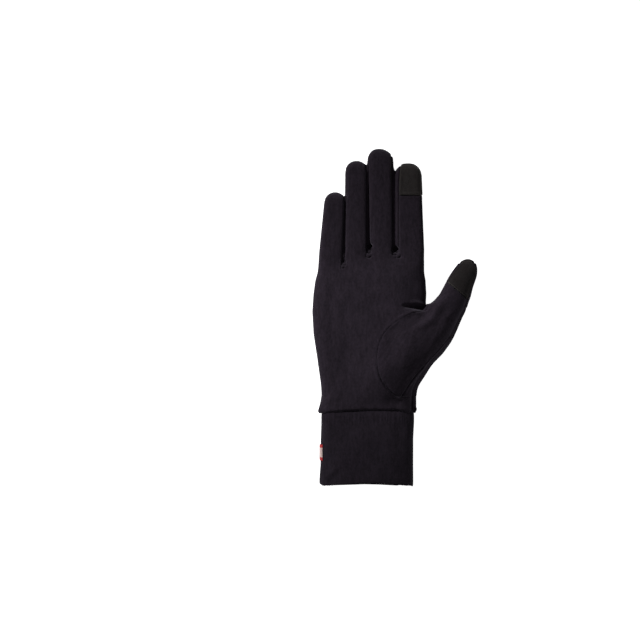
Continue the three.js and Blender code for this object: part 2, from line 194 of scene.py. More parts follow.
# Folds and dents of the palm's side, and further down those of the back: the line each one
# follows, its height (a valley is negative) and its half width. The height fades to nothing over a
# share of the line at both ends, and over a shorter share of it where an end is given.
FOLD_END = 0.35
FOLDS = [
    # the deep crease at the thumb's web, with the ridges on both sides of it
    {"line": [(23.5, 24.6), (31, 23.8), (37, 22.9), (42.5, 22.8)], "height": -3.1, "width": 1.6, "end": 0.1},
    {"line": [(42.5, 21.5), (45.5, 22.4), (48.5, 24.5), (51, 28)], "height": 1.4, "width": 1.8},
    {"line": [(30, 28.0), (36, 27.0), (41, 25.2), (45.5, 23.6)], "height": 1.1, "width": 1.2},
    # the palm seam's raised upper part
    {
        "line": [
            (9.5, -1), (12.6, 5), (17, 9.6), (22.5, 14.3), (28, 17.8), (33.8, 19.9), (40.3, 21.5), (47, 23.6)
        ],
        "height": 0.5,
        "width": 1.5,
    },
    # the groove under the thumb's touch tip
    {"line": [(52, 47.2), (60.0, 40.9), (75.0, 29.1), (80, 25.2)], "height": -0.8, "width": 0.7, "end": 0.1},
    # soft folds on the thumb
    {
        "line": [(29, 5), (40, 9.5), (46, 14), (49.8, 20.5), (54, 27), (60.5, 36)],
        "height": 1.6,
        "width": 2.8,
    },
    {"line": [(36, 13.8), (41, 16.6), (45, 20.4)], "height": -0.5, "width": 1.8},
    {"line": [(53, 12), (58, 16.5), (62, 21.5)], "height": 0.5, "width": 2.4},
    {"line": [(46, 2), (51, 9), (54.5, 16.5), (58.5, 25), (61, 30)], "height": -0.5, "width": 3.0},
    # the palm's long soft hollows
    {"line": [(-20, 54), (-24, 40), (-26.5, 22), (-25.5, 2), (-24, -18)], "height": -0.8, "width": 4.0},
    {"line": [(-31, 58), (-34, 30), (-35, 4), (-33, -20), (-31, -46)], "height": 0.3, "width": 4.5},
    {"line": [(-14, 44), (-17, 20), (-16, -4), (-15, -34)], "height": -0.9, "width": 7.5},
    {"line": [(-16, 2), (-18, -16), (-20, -30), (-23, -44)], "height": -0.9, "width": 7.0},
    {"line": [(45, 19), (37, 4), (26, -13), (11, -30), (-8, -44)], "height": 2.9, "width": 14.0},
    {"line": [(26, 30), (28.5, 16), (29, 4), (26, -12)], "height": 0.9, "width": 9.0},
    {"line": [(12, 12), (8.5, -6), (9.5, -20), (14, -36)], "height": 1.2, "width": 8.0},
    {"line": [(-2, 30), (8, 26), (20, 27)], "height": -0.7, "width": 5.0},
    {"line": [(2, 57), (4, 46), (3, 34)], "height": -0.5, "width": 3.2},
    {"line": [(22, 56), (27, 47), (34, 42), (40, 40)], "height": -0.7, "width": 3.6},
    {"line": [(-18, 53), (-12, 46), (-4, 44)], "height": -0.35, "width": 3.0},
    # the palm seam's lower end
    {
        "line": [(9.5, -27), (13.3, -33.9), (17, -38.5), (20.8, -41.6), (25.4, -42.7)],
        "height": -0.8,
        "width": 0.9,
        "end": 0.15,
    },
    # the wrist
    {"line": [(-34, -49), (-26, -44), (-18, -43)], "height": 0.7, "width": 3.0},
    {"line": [(-30, -40), (-22, -35), (-14, -26)], "height": 0.4, "width": 4.0},
    {"line": [(10, -49), (20, -46), (32, -49)], "height": -0.7, "width": 3.6},
]
BACK_FOLDS = [
    {"line": [(19, 62), (12, 48), (0, 30), (-14, 12)], "height": -0.8, "width": 3.4},
    {"line": [(2, 62), (-6, 48), (-18, 34), (-30, 24)], "height": -0.9, "width": 2.8},
    {"line": [(-17, 56), (-24, 46), (-34, 38)], "height": -0.9, "width": 2.2},
    {"line": [(26, 30), (16, 14), (4, -4), (-6, -22)], "height": -0.6, "width": 5.0},
    {"line": [(42, 27), (46.5, 20), (52, 14)], "height": -2.2, "width": 1.7},
    {"line": [(45, 25), (52, 20), (58, 19)], "height": -1.2, "width": 1.8},
    {"line": [(25, 84), (33, 83), (40, 85)], "height": -0.5, "width": 1.4},
    {"line": [(25, 91), (33, 92), (40, 91)], "height": -0.4, "width": 1.4},
    {"line": [(-16, 96), (-8, 97.5), (0, 96)], "height": -0.4, "width": 1.6},
]

# How often the skin is smoothed, its joins more, and most of all the line where the thumb's form
# lies on the hand's
SKIN_ROUNDS = 6
JOIN_ROUNDS = 70
THUMB_JOIN_ROUNDS = 500
THUMB_JOIN = [(33, -48), (28, -34), (27, -18), (30, -2), (37, 14)]

# The sharp corner between the hand and the thumb
THUMB_NOTCH = (45.5, 22.5)
NOTCH_RADIUS = 3.2
NOTCH_DEPTH = 2.4

# How far the skin is drawn out to its sides, at places across it
SPREAD_PLACES = (-36, 0, 44, 60)
SPREAD = (-0.5, 0.1, 1.15, 1.5)

# Broad forms of the palm: place, height, and half sizes across and along
MOUNDS = [
    {"at": (-14, -34), "height": -0.9, "size": (16, 16)},
    {"at": (12, -50), "height": -1.2, "size": (20, 9)},
    {"at": (4, -60), "height": -3.2, "size": (34, 16)},
    {"at": (46, 36), "height": -3.0, "size": (17, 19)},
]

# The palm rises to the thumb and falls away to the wrist: each slope starts at a line, given by
# its two ends, bends softly over its ease, and goes on for its reach, straight up or along the
# skin's normals. All of them fade out towards the fingers, and the upright ones across the thumb.
SLOPES_FADE = (45, 70)
UPRIGHT_FADE = (40, 78)
SLOPES = [
    {"from": (-16, 60), "to": (-16, -60), "slope": 0.12, "ease": 14, "reach": 42, "upright": True},
    {"from": (36, 6), "to": (-20, -57), "slope": -0.19, "ease": 8, "reach": 27, "upright": False},
]

# Dents and bumps round a point on the palm: place, height, radius. Round each crotch the skin is
# divided twice, within these reaches of it and above the floor given for it.
DIMPLES = [
    {"at": (-17.3, 57.4), "height": -1.4, "radius": 1.2},
    {"at": (-18.0, 54.2), "height": 0.5, "radius": 1.0},
    {"at": (1.6, 69.4), "height": -3.2, "radius": 1.6},
    {"at": (0.2, 67.4), "height": 0.5, "radius": 0.7},
    {"at": (3.0, 67.4), "height": 0.5, "radius": 0.7},
    {"at": (1.0, 62.6), "height": 0.7, "radius": 1.2},
    {"at": (20.8, 67.2), "height": -3.2, "radius": 2.0},
    {"at": (20.2, 63.8), "height": 0.5, "radius": 0.8},
    {"at": (22.4, 62.4), "height": 0.7, "radius": 1.2},
]
CROTCHES = [(-17.6, 55.5), (1.2, 65.5), (21.2, 65.0)]
CROTCH_REACHES = (7.5, 6)
CROTCH_FLOOR = 7
CROTCH_LINES = [
    {"line": [(-19.6, 54.6), (-19, 52.9), (-17.6, 52.6), (-16.5, 53.8)], "height": -0.7, "width": 0.5},
    {"line": [(-18.4, 56.6), (-17.6, 55.6), (-16.6, 55.2)], "height": -0.6, "width": 0.45},
    {"line": [(-1.2, 65.0), (1.0, 67.3), (3.4, 69.6)], "height": -0.9, "width": 0.55},
    {"line": [(-1.0, 69.6), (1.2, 67.2), (3.6, 65.2)], "height": -0.9, "width": 0.55},
    {
        "line": [(-1.0, 63.9), (-0.9, 61.5), (0.9, 60.4), (2.8, 61.3), (3.2, 63.2)],
        "height": -0.8,
        "width": 0.5,
    },
    {"line": [(0.2, 64.2), (1.4, 63.2), (1.2, 61.8)], "height": -0.4, "width": 0.4},
    {"line": [(18.6, 65.0), (20.6, 64.6), (22.4, 65.4)], "height": -0.8, "width": 0.5},
    {
        "line": [(20.6, 62.9), (21.0, 60.9), (22.6, 60.2), (24.2, 61.2), (24.4, 63.0)],
        "height": -0.8,
        "width": 0.5,
    },
    {"line": [(21.4, 64.0), (22.6, 62.9), (22.4, 61.6)], "height": -0.4, "width": 0.4},
]

# Seams of the cut pieces: the forefinger's inner strip (height above the roots, depth), the
# touch tip of the thumb, the two rows of stitches on the touch tips (start, end and number), the
# hand's end, and the crotches. Neighbouring fingers swell until they are TOUCHING_GAP apart, in a
# band round the height where they touch. Strips end a share of the tip's width before a fingertip.
INDEX_STRIP = [(0, 2.1), (50, 2.3), (62, 2.4), (68, 2.7), (72, 3.3), (75, 4.2), (80, 5.6)]
THUMB_TIP_SEAM = [(60.0, 40.9), (75.0, 29.1)]
THUMB_STITCHES = ((60.4, 42.1), (76.4, 29.6), 14)
INDEX_STITCHES = ((24.4, 107.9), (43.2, 107.9), 15)
HAND_END = [
    (-40, -56.2), (-34, -55.7), (-20, -54.3), (0, -53.2), (21, -52.8), (28, -54.2), (34, -55.6), (40, -56.0)
]
HAND_END_GROOVE = {"depth": 1.1, "width": 1.3}
CROTCH_WIDTH = 2.6
CROTCH_LENGTH = 2.2
TOUCHING_GAP = 0.35
TOUCHING_HEIGHT = 6
TOUCHING_BAND = 3.6
STRIP_END = 0.2
FOURCHETTE_LOW = 3.6
GUSSET_TOP = 10.2
GUSSET_STRIP = [(0, 0.9), (30, 1.3), (60, 1.5), (80, 1.5)]
SEAM_SNAP = 0.1

# How each piece is sewn: how far its edge rolls in, the ridge beside it, and its puckers. Beside a
# seam the mesh is divided once more, within SEAM_REACH of it, and given painted shade, darker
# towards the seam, over SHADE_WIDTH. A stitch and the space behind it are STITCH_STEPS long, of
# places along their row.
SEAM_REACH = 2.4
ROLL_WIDTH = 0.6
RIDGE_PLACE = 1.5
RIDGE_WIDTH = 0.7
PUCKER_SIZE = 2.2
PUCKER_REACH = 2.5
SHADE_WIDTH = 1.1
STITCH_WIDTH = 0.3
STITCH_HEIGHT = 0.25
STITCH_STEPS = 4
STITCH_REACH = 0.8
SEWING = {
    "hand_piece": (0.55, 0.15, 0.12),
    "thumb_touch_tip": (0.7, 0.4, 0.05),
    "index_touch_tip": (0.7, 0.45, 0.05),
    "thumb_front": (0.7, 0.05, 0.2),
}
# Where the thumb's palm seam lies almost flat: place, half sizes across and along
FLAT_SEAM = [((8, -8), (12, 18)), ((30, 17), (20, 9)), ((74, 23), (6, 5)), ((36, -45), (8, 9))]

# The cuff, from its tuck in the hand down to the folded hem: y, left, right, height, lift
CUFF_SECTIONS = [
    (-51.5, -33.4, 34.3, 15.6, 1.9),
    (-55.0, -34.0, 35.2, 17.4, 1.5),
    (-58.0, -34.3, 35.6, 18.6, 0.9),
    (-64.0, -34.3, 35.5, 19.6, 0.2),
    (-75.0, -34.7, 34.9, 20.0, 0),
    (-95.0, -34.9, 34.8, 20.2, 0),
    (-107.0, -35.7, 34.9, 20.2, 0),
    (-109.9, -35.7, 34.8, 19.9, 0.1),
    (-110.5, -35.2, 34.3, 18.9, 0.6),
]
# The folded hem's line across the cuff, on top and underneath: x and y
HEM_TOP = [
    (-36, -109.6), (-33, -111.0), (-20, -109.6), (-2, -108.2), (9, -108.3), (22, -109.5), (34, -111.2)
]
HEM_UNDER = [
    (-36, -109.6), (-33, -111.3), (-20, -110.9), (-2, -110.3), (9, -110.5), (22, -111.2), (34, -111.6)
]
CUFF_FOLDS = [
    {"line": [(-34, -109), (-28, -102), (-20, -95)], "height": 0.8, "width": 2.6},
    {"line": [(-31, -110), (-22, -101), (-12, -95)], "height": -0.6, "width": 3.4},
    {"line": [(-30, -60), (-29, -75), (-31, -92)], "height": 0.7, "width": 3.0},
    {"line": [(22, -58), (24, -72), (20, -90)], "height": -0.7, "width": 5.0},
]

# The cuff's cloth: how far its top falls away at its sides, the step of its mesh, the gathers under
# its seam, its ripples, and the painted shade along its hem
CUFF_CROWN = 2.6
CUFF_STEP = 0.6
GATHER_HEIGHT = 0.18
RIPPLE_HEIGHT = 0.35
RIPPLE_SIZE = 8
HEM_SHADE = 1.2

# The tape on the cuff's side
TAPE_THICKNESS = 0.8
TAPE_LOW = 3.0
TAPE_HIGH = 10.6
TAPE_WEAVE = 0.45

# Camera: its height over the glove's middle, and the frame that it takes in there
GLOVE_MIDDLE = 10
CAMERA_HEIGHT = 1500
FRAME_HEIGHT = 482.25
FRAME_CENTRE = (-35.25, 12.75)
SENSOR_HEIGHT = 36


def smoothstep(low, high, value):
    """0 up to low, 1 from high, and smooth between them."""
    share = np.clip((value - low) / (high - low), 0, 1)
    return share * share * (3 - 2 * share)


def smooth_line(points, steps=8):
    """A Catmull-Rom line through points in plan."""
    p = np.array(points, float)
    p = np.vstack([2 * p[0] - p[1], p, 2 * p[-1] - p[-2]])
    line = []
    for k in range(1, len(p) - 2):
        for t in np.linspace(0, 1, steps, endpoint=False):
            a, b, c, d = p[k - 1], p[k], p[k + 1], p[k + 2]
            straight = 2 * b + (c - a) * t
            square = (2 * a - 5 * b + 4 * c - d) * t**2
            cube = (3 * b - a - 3 * c + d) * t**3
            line.append(0.5 * (straight + square + cube))
    line.append(p[-2])
    return np.array(line)


def along_line(points, line):
    """How far each point is from a line in plan, and how far along the line it is, from 0 to 1."""
    best = np.full(len(points), 1e9)
    share = np.zeros(len(points))
    lengths = np.linalg.norm(np.diff(line, axis=0), axis=1)
    starts = np.concatenate([[0], np.cumsum(lengths)])
    for k, length in enumerate(lengths):
        a, step = line[k], line[k + 1] - line[k]
        t = np.clip(((points[:, :2] - a) @ step) / (length * length), 0, 1)
        gap = np.linalg.norm(points[:, :2] - a - t[:, None] * step, axis=1)
        nearer = gap < best
        best = np.where(nearer, gap, best)
        share = np.where(nearer, (starts[k] + t * length) / starts[-1], share)
    return best, share


def inside_outline(points, outline):
    """Signed distance in plan to a closed outline: negative inside it."""
    closed = np.vstack([outline, outline[:1]])
    distance, _ = along_line(points, closed)
    x, y = points[:, 0], points[:, 1]
    crossings = np.zeros(len(points), int)
    for (ax, ay), (bx, by) in zip(closed[:-1], closed[1:]):
        spans = (ay > y) != (by > y)
        if ay != by:
            crossings += spans & (x < ax + (y - ay) * (bx - ax) / (by - ay))
    return np.where(crossings % 2 == 1, -distance, distance)


def column(points, outline, low=-FAR, high=FAR):
    """The space over an outline in plan between two heights: negative inside it."""
    z = points[:, 2]
    return np.maximum(inside_outline(points, np.array(outline, float)), np.maximum(low - z, z - high))


# Where the fingers stand
row_width = sum(f["root"] for f in FINGERS.values()) + FINGER_GAP * (len(FINGERS) - 1)
ROW_LEFT = HAND_LEAN - row_width / 2
ROW_RIGHT = HAND_LEAN + row_width / 2
next_left = ROW_LEFT
for finger in FINGERS.values():
    finger["centre"] = next_left + finger["root"] / 2
    next_left += finger["root"] + FINGER_GAP


def finger_edges(finger, up):
    """A finger's left and right edge at a height above the roots."""
    share = np.clip(up / (finger["length"] - finger["tip"] / 2), 0, 1)
    centre = finger["centre"] + finger["lean"] * np.maximum(up, 0) / finger["length"]
    half = (finger["root"] + (finger["tip"] - finger["root"]) * share) / 2
    return centre - half, centre + half


def hand_edges(section):
    """The hand's left and right edge at one of its sections."""
    left = -HAND_END_HALF + (ROW_LEFT + HAND_END_HALF) * section["blend"]
    right = HAND_END_HALF + (ROW_RIGHT - HAND_END_HALF) * section["blend"]
    return left - section["left"] * row_width, right + section["right"] * row_width


def hand_edge_at(y):
    """The hand's right edge at y."""
    places = [SEAM_Y + HAND_LENGTH * s["along"] for s in HAND_SECTIONS]
    return np.interp(y, places, [hand_edges(s)[1] for s in HAND_SECTIONS])


def thumb_point(along, side):
    """A point in plan from a distance along the thumb's axis and to its outer side."""
    x = THUMB_ROOT[0] + along * math.sin(THUMB_ANGLE) + side * math.cos(THUMB_ANGLE)
    y = THUMB_ROOT[1] + along * math.cos(THUMB_ANGLE) - side * math.sin(THUMB_ANGLE)
    return x, y


def thumb_line(points):
    return smooth_line([thumb_point(along * THUMB_LENGTH, side * THUMB_WIDTH) for along, side in points])


def tube(name, sections, corner=CORNER):
    """A closed form through oval sections across +Y: each is (y, left, right, height, lift)."""
    bpy.ops.object.select_all(action="DESELECT")
    y, left, right, height, lift = sections[0]
    bpy.ops.mesh.primitive_plane_add(size=2, location=(0, y * MM, 0), rotation=(math.pi / 2, 0, 0))
    shape = bpy.context.object
    shape.name = name
    bpy.ops.object.transform_apply(location=True, rotation=True, scale=True)
    bpy.ops.object.mode_set(mode="EDIT")
    bpy.ops.mesh.select_all(action="SELECT")
    bpy.ops.mesh.bevel(offset=corner, segments=CORNER_STEPS, affect="VERTICES")
    bpy.ops.mesh.select_all(action="SELECT")
    now = (y, 0.0, 0.0, 1 / MM, 1 / MM)
    for n, (y, left, right, height, lift) in enumerate(sections):
        centre = (left + right) / 2
        half = (right - left) / 2
        radius = height * OVAL_RADIUS
        level = lift + height * OVAL_CENTRE
        step = ((centre - now[1]) * MM, (y - now[0]) * MM, (level - now[2]) * MM)
        if n == 0:
            bpy.ops.transform.translate(value=step)
        else:
            bpy.ops.mesh.extrude_region_move(TRANSFORM_OT_translate={"value": step})
        bpy.ops.transform.resize(
            value=(half / now[3], 1, radius / now[4]), center_override=(centre * MM, y * MM, level * MM)
        )
        now = (y, centre, level, half, radius)
    bpy.ops.mesh.select_all(action="SELECT")
    bpy.ops.mesh.normals_make_consistent(inside=False)
    bpy.ops.mesh.bisect(plane_co=(0, 0, 0), plane_no=(0, 0, 1), clear_inner=True, use_fill=True)
    bpy.ops.object.mode_set(mode="OBJECT")
    return shape


def hand_tube():
    sections = []
    first = hand_edges(HAND_SECTIONS[0])
    height = HAND_HEIGHT * HAND_SECTIONS[0]["height"]
    sections.append((SEAM_Y - END_SPARE, *first, height, 0))
    for s in HAND_SECTIONS:
        sections.append((SEAM_Y + HAND_LENGTH * s["along"], *hand_edges(s), HAND_HEIGHT * s["height"], 0))
    return tube("hand_tube", sections)


def finger_tube(name):
    finger = FINGERS[name]
    straight = finger["length"] - finger["tip"] / 2
    left, right = finger_edges(finger, -FINGER_OVERLAP)
    inset = FINGER_OVERLAP * FINGER_START["inset"]
    height = FINGER_HEIGHT * FINGER_START["height"]
    lift = FINGER_HEIGHT * FINGER_START["lift"]
    sections = [(ROOTS_Y - FINGER_OVERLAP, left + inset, right - inset, height, lift)]
    for share in (0, 0.25, 0.5, 0.75, 1):
        up = straight * share
        sections.append((ROOTS_Y + up, *finger_edges(finger, up), FINGER_HEIGHT, 0))
    for angle in CAP_ANGLES:
        up = straight + finger["tip"] / 2 * math.sin(angle)
        left, right = finger_edges(finger, up)
        share = math.cos(angle)
        half = (right - left) / 2 * share
        centre = (left + right) / 2 + finger.get("nose", 0) * math.sin(angle) ** 2
        lift = FINGER_HEIGHT * TIP_CENTRE * (1 - share)
        sections.append((ROOTS_Y + up, centre - half, centre + half, FINGER_HEIGHT * share, lift))
    return tube(f"{name}_tube", sections, finger["corner"])


def web_tube(web):
    left = FINGERS[web["from"]]["centre"]
    right = FINGERS[web["to"]]["centre"]
    height = FINGER_HEIGHT * WEB_HEIGHT
    top = ROOTS_Y + web["reach"]
    sections = [(ROOTS_Y - FINGER_OVERLAP, left, right, height, 0)]
    for below, share, lift in WEB_SECTIONS:
        sections.append((top - below, left, right, height * share, height * lift))
    return tube("web_tube", sections)


def thumb_tube():
    sections = []
    for s in THUMB_SECTIONS:
        left, right = THUMB_WIDTH * s["inner"], THUMB_WIDTH * s["outer"]
        sections.append((THUMB_LENGTH * s["along"], left, right, THUMB_HEIGHT * s["height"], 0))
    end = THUMB_SECTIONS[-1]
    straight = THUMB_LENGTH * end["along"]
    height = THUMB_HEIGHT * end["height"]
    centre = THUMB_WIDTH * (end["inner"] + end["outer"]) / 2
    for angle in CAP_ANGLES:
        share = math.cos(angle)
        half = THUMB_WIDTH * (end["outer"] - end["inner"]) / 2 * share
        up = straight + (THUMB_LENGTH - straight) * math.sin(angle)
        lift = height * TIP_CENTRE * (1 - share)
        sections.append((up, centre - half, centre + half, height * share, lift))
    shape = tube("thumb_tube", sections)
    shape.rotation_euler.z = -THUMB_ANGLE
    shape.location = (THUMB_ROOT[0] * MM, THUMB_ROOT[1] * MM, 0)
    bpy.ops.object.transform_apply(location=True, rotation=True, scale=True)
    return shape


def get_points(mesh):
    co = np.empty(len(mesh.vertices) * 3, np.float32)
    mesh.vertices.foreach_get("co", co)
    return co.reshape(-1, 3).astype(float) / MM


def set_points(mesh, points):
    mesh.vertices.foreach_set("co", (points * MM).astype(np.float32).ravel())
    mesh.update()


def get_normals(mesh):
    normals = np.empty(len(mesh.vertices) * 3, np.float32)
    mesh.vertex_normals.foreach_get("vector", normals)
    return normals.reshape(-1, 3).astype(float)


def get_edges(mesh):
    edges = np.empty(len(mesh.edges) * 2, np.int32)
    mesh.edges.foreach_get("vertices", edges)
    return edges.reshape(-1, 2)


def relaxed(points, edges, weight, rounds):
    """Moves the points that have a weight towards the middle of their neighbours, round after round."""
    near = weight[edges].max(axis=1) > 0
    used = np.unique(edges[near])
    place = np.zeros(len(points), int)
    place[used] = np.arange(len(used))
    a, b = place[edges[near]].T
    size = len(used)
    count = np.bincount(a, minlength=size) + np.bincount(b, minlength=size)
    strength = (0.5 * weight[used])[:, None]
    moved = points[used]
    for _ in range(rounds):
        middle = np.empty_like(moved)
        for axis in range(3):
            total = np.bincount(a, moved[b, axis], size) + np.bincount(b, moved[a, axis], size)
            middle[:, axis] = total / count
        moved = moved + strength * (middle - moved)
    result = points.copy()
    result[used] = moved
    return result


def select_only(obj):
    bpy.ops.object.select_all(action="DESELECT")
    obj.select_set(True)
    bpy.context.view_layer.objects.active = obj


def apply_modifier(obj, kind, **settings):
    select_only(obj)
    modifier = obj.modifiers.new(kind.title(), kind)
    for key, value in settings.items():
        setattr(modifier, key, value)
    bpy.ops.object.modifier_apply(modifier=modifier.name)


def joined_skin():
    """Joins the forms of the hand, fingers, webs and thumb into one smooth skin."""
    tubes = [hand_tube(), thumb_tube()]
    tubes += [finger_tube(name) for name in FINGERS]
    tubes += [web_tube(web) for web in WEBS]
    bpy.ops.object.select_all(action="DESELECT")
    for shape in tubes:
        shape.select_set(True)
    bpy.context.view_layer.objects.active = tubes[0]
    bpy.ops.object.join()
    skin = bpy.context.object
    skin.name = "skin"
    apply_modifier(skin, "REMESH", mode="VOXEL", voxel_size=SKIN_STEP * MM, adaptivity=0.0)
    return skin


def blend_joins(mesh):
    """Smooths the steps of the remesh everywhere, and the joins between the forms much more."""
    points, edges = get_points(mesh), get_edges(mesh)
    points = relaxed(points, edges, np.ones(len(points)), SKIN_ROUNDS)
    x, y, z = points.T
    roots = 1 - smoothstep(5, 12, np.abs(y - ROOTS_Y + 1))
    start, _ = along_line(points, np.array([thumb_point(-10, 8), thumb_point(14, 12)]))
    points = relaxed(points, edges, np.maximum(roots, 1 - smoothstep(4, 10, start)), JOIN_ROUNDS)
    join, _ = along_line(points, smooth_line(THUMB_JOIN))
    bed = (1 - smoothstep(9, 17, join)) * smoothstep(9, 12, z) * (1 - smoothstep(17, 23, points[:, 1]))
    points = relaxed(points, edges, bed, THUMB_JOIN_ROUNDS)
    points[:, 2] = np.maximum(points[:, 2], 0)
    return points


def fingers_together(points, normals):
    """Swells the fingers' sides until neighbours nearly touch, and returns the moved points."""
    x, y, z = points.T
    up = y - ROOTS_Y
    moved = points.copy()
    for web in WEBS:
        first, second = FINGERS[web["from"]], FINGERS[web["to"]]
        end = min(first["length"], second["length"])
        edges = ((finger_edges(first, up)[1], 1), (finger_edges(second, up)[0], -1))
        share = smoothstep(web["reach"] + 1, web["reach"] + 7, up) * (1 - smoothstep(end - 6, end - 1, up))
        band = np.exp(-(((z - TOUCHING_HEIGHT) / TOUCHING_BAND) ** 2))
        swell = (edges[1][0] - edges[0][0] - TOUCHING_GAP) / 2 * share * band
        for edge, sign in edges:
            side = smoothstep(0.3, 0.9, sign * normals[:, 0]) * (1 - smoothstep(1.5, 2.5, np.abs(x - edge)))
            moved[:, 0] += sign * swell * side
    return moved


def fold_height(points, fold, weight=1.0):
    """How far a fold raises each point: fully beside its line, and not at all past its ends."""
    gap, share = along_line(points, smooth_line(fold["line"]))
    fade = smoothstep(0, FOLD_END, share) * smoothstep(0, fold.get("end", FOLD_END), 1 - share)
    return weight * fold["height"] * fade * np.exp(-((gap / fold["width"]) ** 2))


def sculpt(mesh, points):
    """Presses folds and dents into the skin along its normals, and moves its broad forms in height."""
    normals = get_normals(mesh)
    rise = np.zeros(len(points))
    lift = np.zeros(len(points))
    palm = smoothstep(-0.15, 0.25, normals[:, 2])
    for folds, side in ((FOLDS + CROTCH_LINES, palm), (BACK_FOLDS, 1 - palm)):
        for fold in folds:
            rise += fold_height(points, fold, side)
    for mound in MOUNDS:
        away = (points[:, :2] - mound["at"]) / mound["size"]
        lift += palm * mound["height"] * np.exp(-np.sum(away**2, axis=1))
    for slope in SLOPES:
        (ax, ay), (bx, by) = slope["from"], slope["to"]
        across = (points[:, 1] - ay) * (bx - ax) - (points[:, 0] - ax) * (by - ay)
        past = np.clip(across / math.hypot(bx - ax, by - ay), 0, slope["reach"])
        height = palm * slope["slope"] * past**2 / (past + slope["ease"])
        height = height * (1 - smoothstep(*SLOPES_FADE, points[:, 1]))
        if slope["upright"]:
            lift += height * smoothstep(3, 12, points[:, 2]) * (1 - smoothstep(*UPRIGHT_FADE, points[:, 0]))
        else:
            rise += height
    for dimple in DIMPLES:
        gap = np.linalg.norm(points[:, :2] - dimple["at"], axis=1)
        rise += palm * dimple["height"] * np.exp(-((gap / dimple["radius"]) ** 2))
    ends = np.array(HAND_END)
    above = points[:, 1] - np.interp(points[:, 0], ends[:, 0], ends[:, 1])
    groove = HAND_END_GROOVE["depth"] * np.exp(-((above / HAND_END_GROOVE["width"]) ** 2))
    rise -= groove * (1 - 0.4 * normals[:, 0] ** 2)
    shaped = fingers_together(points, normals) + normals * rise[:, None]
    shaped[:, 0] += np.interp(points[:, 0], SPREAD_PLACES, SPREAD)
    notch = np.exp(-np.sum(((points[:, :2] - THUMB_NOTCH) / NOTCH_RADIUS) ** 2, axis=1))
    shaped[:, 2] += lift
    shaped[:, 1] += NOTCH_DEPTH * notch * np.maximum(normals[:, 1], 0)
    shaped[:, 2] = np.maximum(shaped[:, 2], 0)
    return shaped


def read_vectors(mesh, name):
    values = np.empty(len(mesh.vertices) * 3, np.float32)
    mesh.attributes[name].data.foreach_get("vector", values)
    return values.reshape(-1, 3).astype(float)


def keep_vectors(mesh, name, values):
    layer = mesh.attributes.get(name) or mesh.attributes.new(name, "FLOAT_VECTOR", "POINT")
    layer.data.foreach_set("vector", values.astype(np.float32).ravel())


def keep_numbers(mesh, name, values):
    layer = mesh.attributes.get(name) or mesh.attributes.new(name, "FLOAT", "POINT")
    layer.data.foreach_set("value", values.astype(np.float32))


def face_means(mesh, values):
    """The mean of a value per point over each face."""
    sizes = np.empty(len(mesh.polygons), np.int32)
    mesh.polygons.foreach_get("loop_total", sizes)
    corners = np.empty(len(mesh.loops), np.int32)
    mesh.loops.foreach_get("vertex_index", corners)
    starts = np.concatenate([[0], np.cumsum(sizes)[:-1]])
    return np.add.reduceat(values[corners], starts) / sizes


def select_faces(obj, chosen):
    """Selects only those faces and opens edit mode."""
    select_only(obj)
    bpy.context.tool_settings.mesh_select_mode = (False, False, True)
    bpy.ops.object.mode_set(mode="EDIT")
    bpy.ops.mesh.select_all(action="DESELECT")
    bpy.ops.object.mode_set(mode="OBJECT")
    obj.data.polygons.foreach_set("select", chosen)
    bpy.ops.object.mode_set(mode="EDIT")


def refine(obj, chosen, cuts=1):
    """Divides those faces further."""
    select_faces(obj, chosen)
    bpy.ops.mesh.subdivide(number_cuts=cuts)
    bpy.ops.object.mode_set(mode="OBJECT")


def cut_out(obj, name, region):
    """Cuts a region out along its seam, and returns it as an object of its own.

    The mesh is laid out so that its height is the distance to the seam, cut level, and put back.
    """
    mesh = obj.data
    flat = read_vectors(mesh, "flat")
    distance = region(flat)
    distance[np.abs(distance) < SEAM_SNAP] = 0
    laid_out = np.column_stack([flat[:, :2], distance]) / MM
    set_points(mesh, laid_out)
    select_only(obj)
    bpy.ops.object.mode_set(mode="EDIT")
    bpy.ops.mesh.select_all(action="SELECT")
    bpy.ops.mesh.bisect(plane_co=(0, 0, 0), plane_no=(0, 0, 1))
    bpy.ops.object.mode_set(mode="OBJECT")
    distance = get_points(mesh)[:, 2] * MM
    set_points(mesh, read_vectors(mesh, "shape"))
    inside = face_means(mesh, distance) < 0
    before = set(bpy.data.objects)
    select_faces(obj, inside)
    bpy.ops.mesh.separate(type="SELECTED")
    bpy.ops.object.mode_set(mode="OBJECT")
    piece = (set(bpy.data.objects) - before).pop()
    piece.name = name
    return piece


def strip_region(points, finger, side, start, end, depths, low, high=FAR):
    """A strip down one side of a finger. depths gives how deep it is at heights above the roots."""
    sign = 1 if side == "right" else -1
    heights, values = zip(*depths)
    inner, outer = [], []
    for up in np.linspace(start, end, 14):
        edge = finger_edges(finger, up)[0 if side == "left" else 1]
        inner.append((edge - sign * np.interp(up, heights, values), ROOTS_Y + up))
        outer.append((edge + sign * FINGER_GAP / 2, ROOTS_Y + up))
    return column(points, inner + outer[::-1], low, high)


def fourchette_region(web):
    first, second = FINGERS[web["from"]], FINGERS[web["to"]]
    start = web["reach"]

    def region(points):
        sides = []
        for finger, side, depth in ((first, "right", web["depths"][0]), (second, "left", web["depths"][1])):
            depths = [(0, depth), (finger["length"], depth)]
            end = finger["length"] - finger["tip"] * STRIP_END
            if finger is FINGERS["index"]:
                depths = INDEX_STRIP
                end = finger["length"] + 1
            sides.append(strip_region(points, finger, side, start, end, depths, FOURCHETTE_LOW))
        left, right = finger_edges(first, start)[1], finger_edges(second, start)[0]
        x, y = (left + right) / 2, ROOTS_Y + start
        half = CROTCH_WIDTH / 2
        crotch = [
            (x, y - CROTCH_LENGTH),
            (x + half, y - 2),
            (x + half, y + 1),
            (x - half, y + 1),
            (x - half, y - 2),
        ]
        return np.minimum.reduce(sides + [column(points, crotch, -1)])

    return region


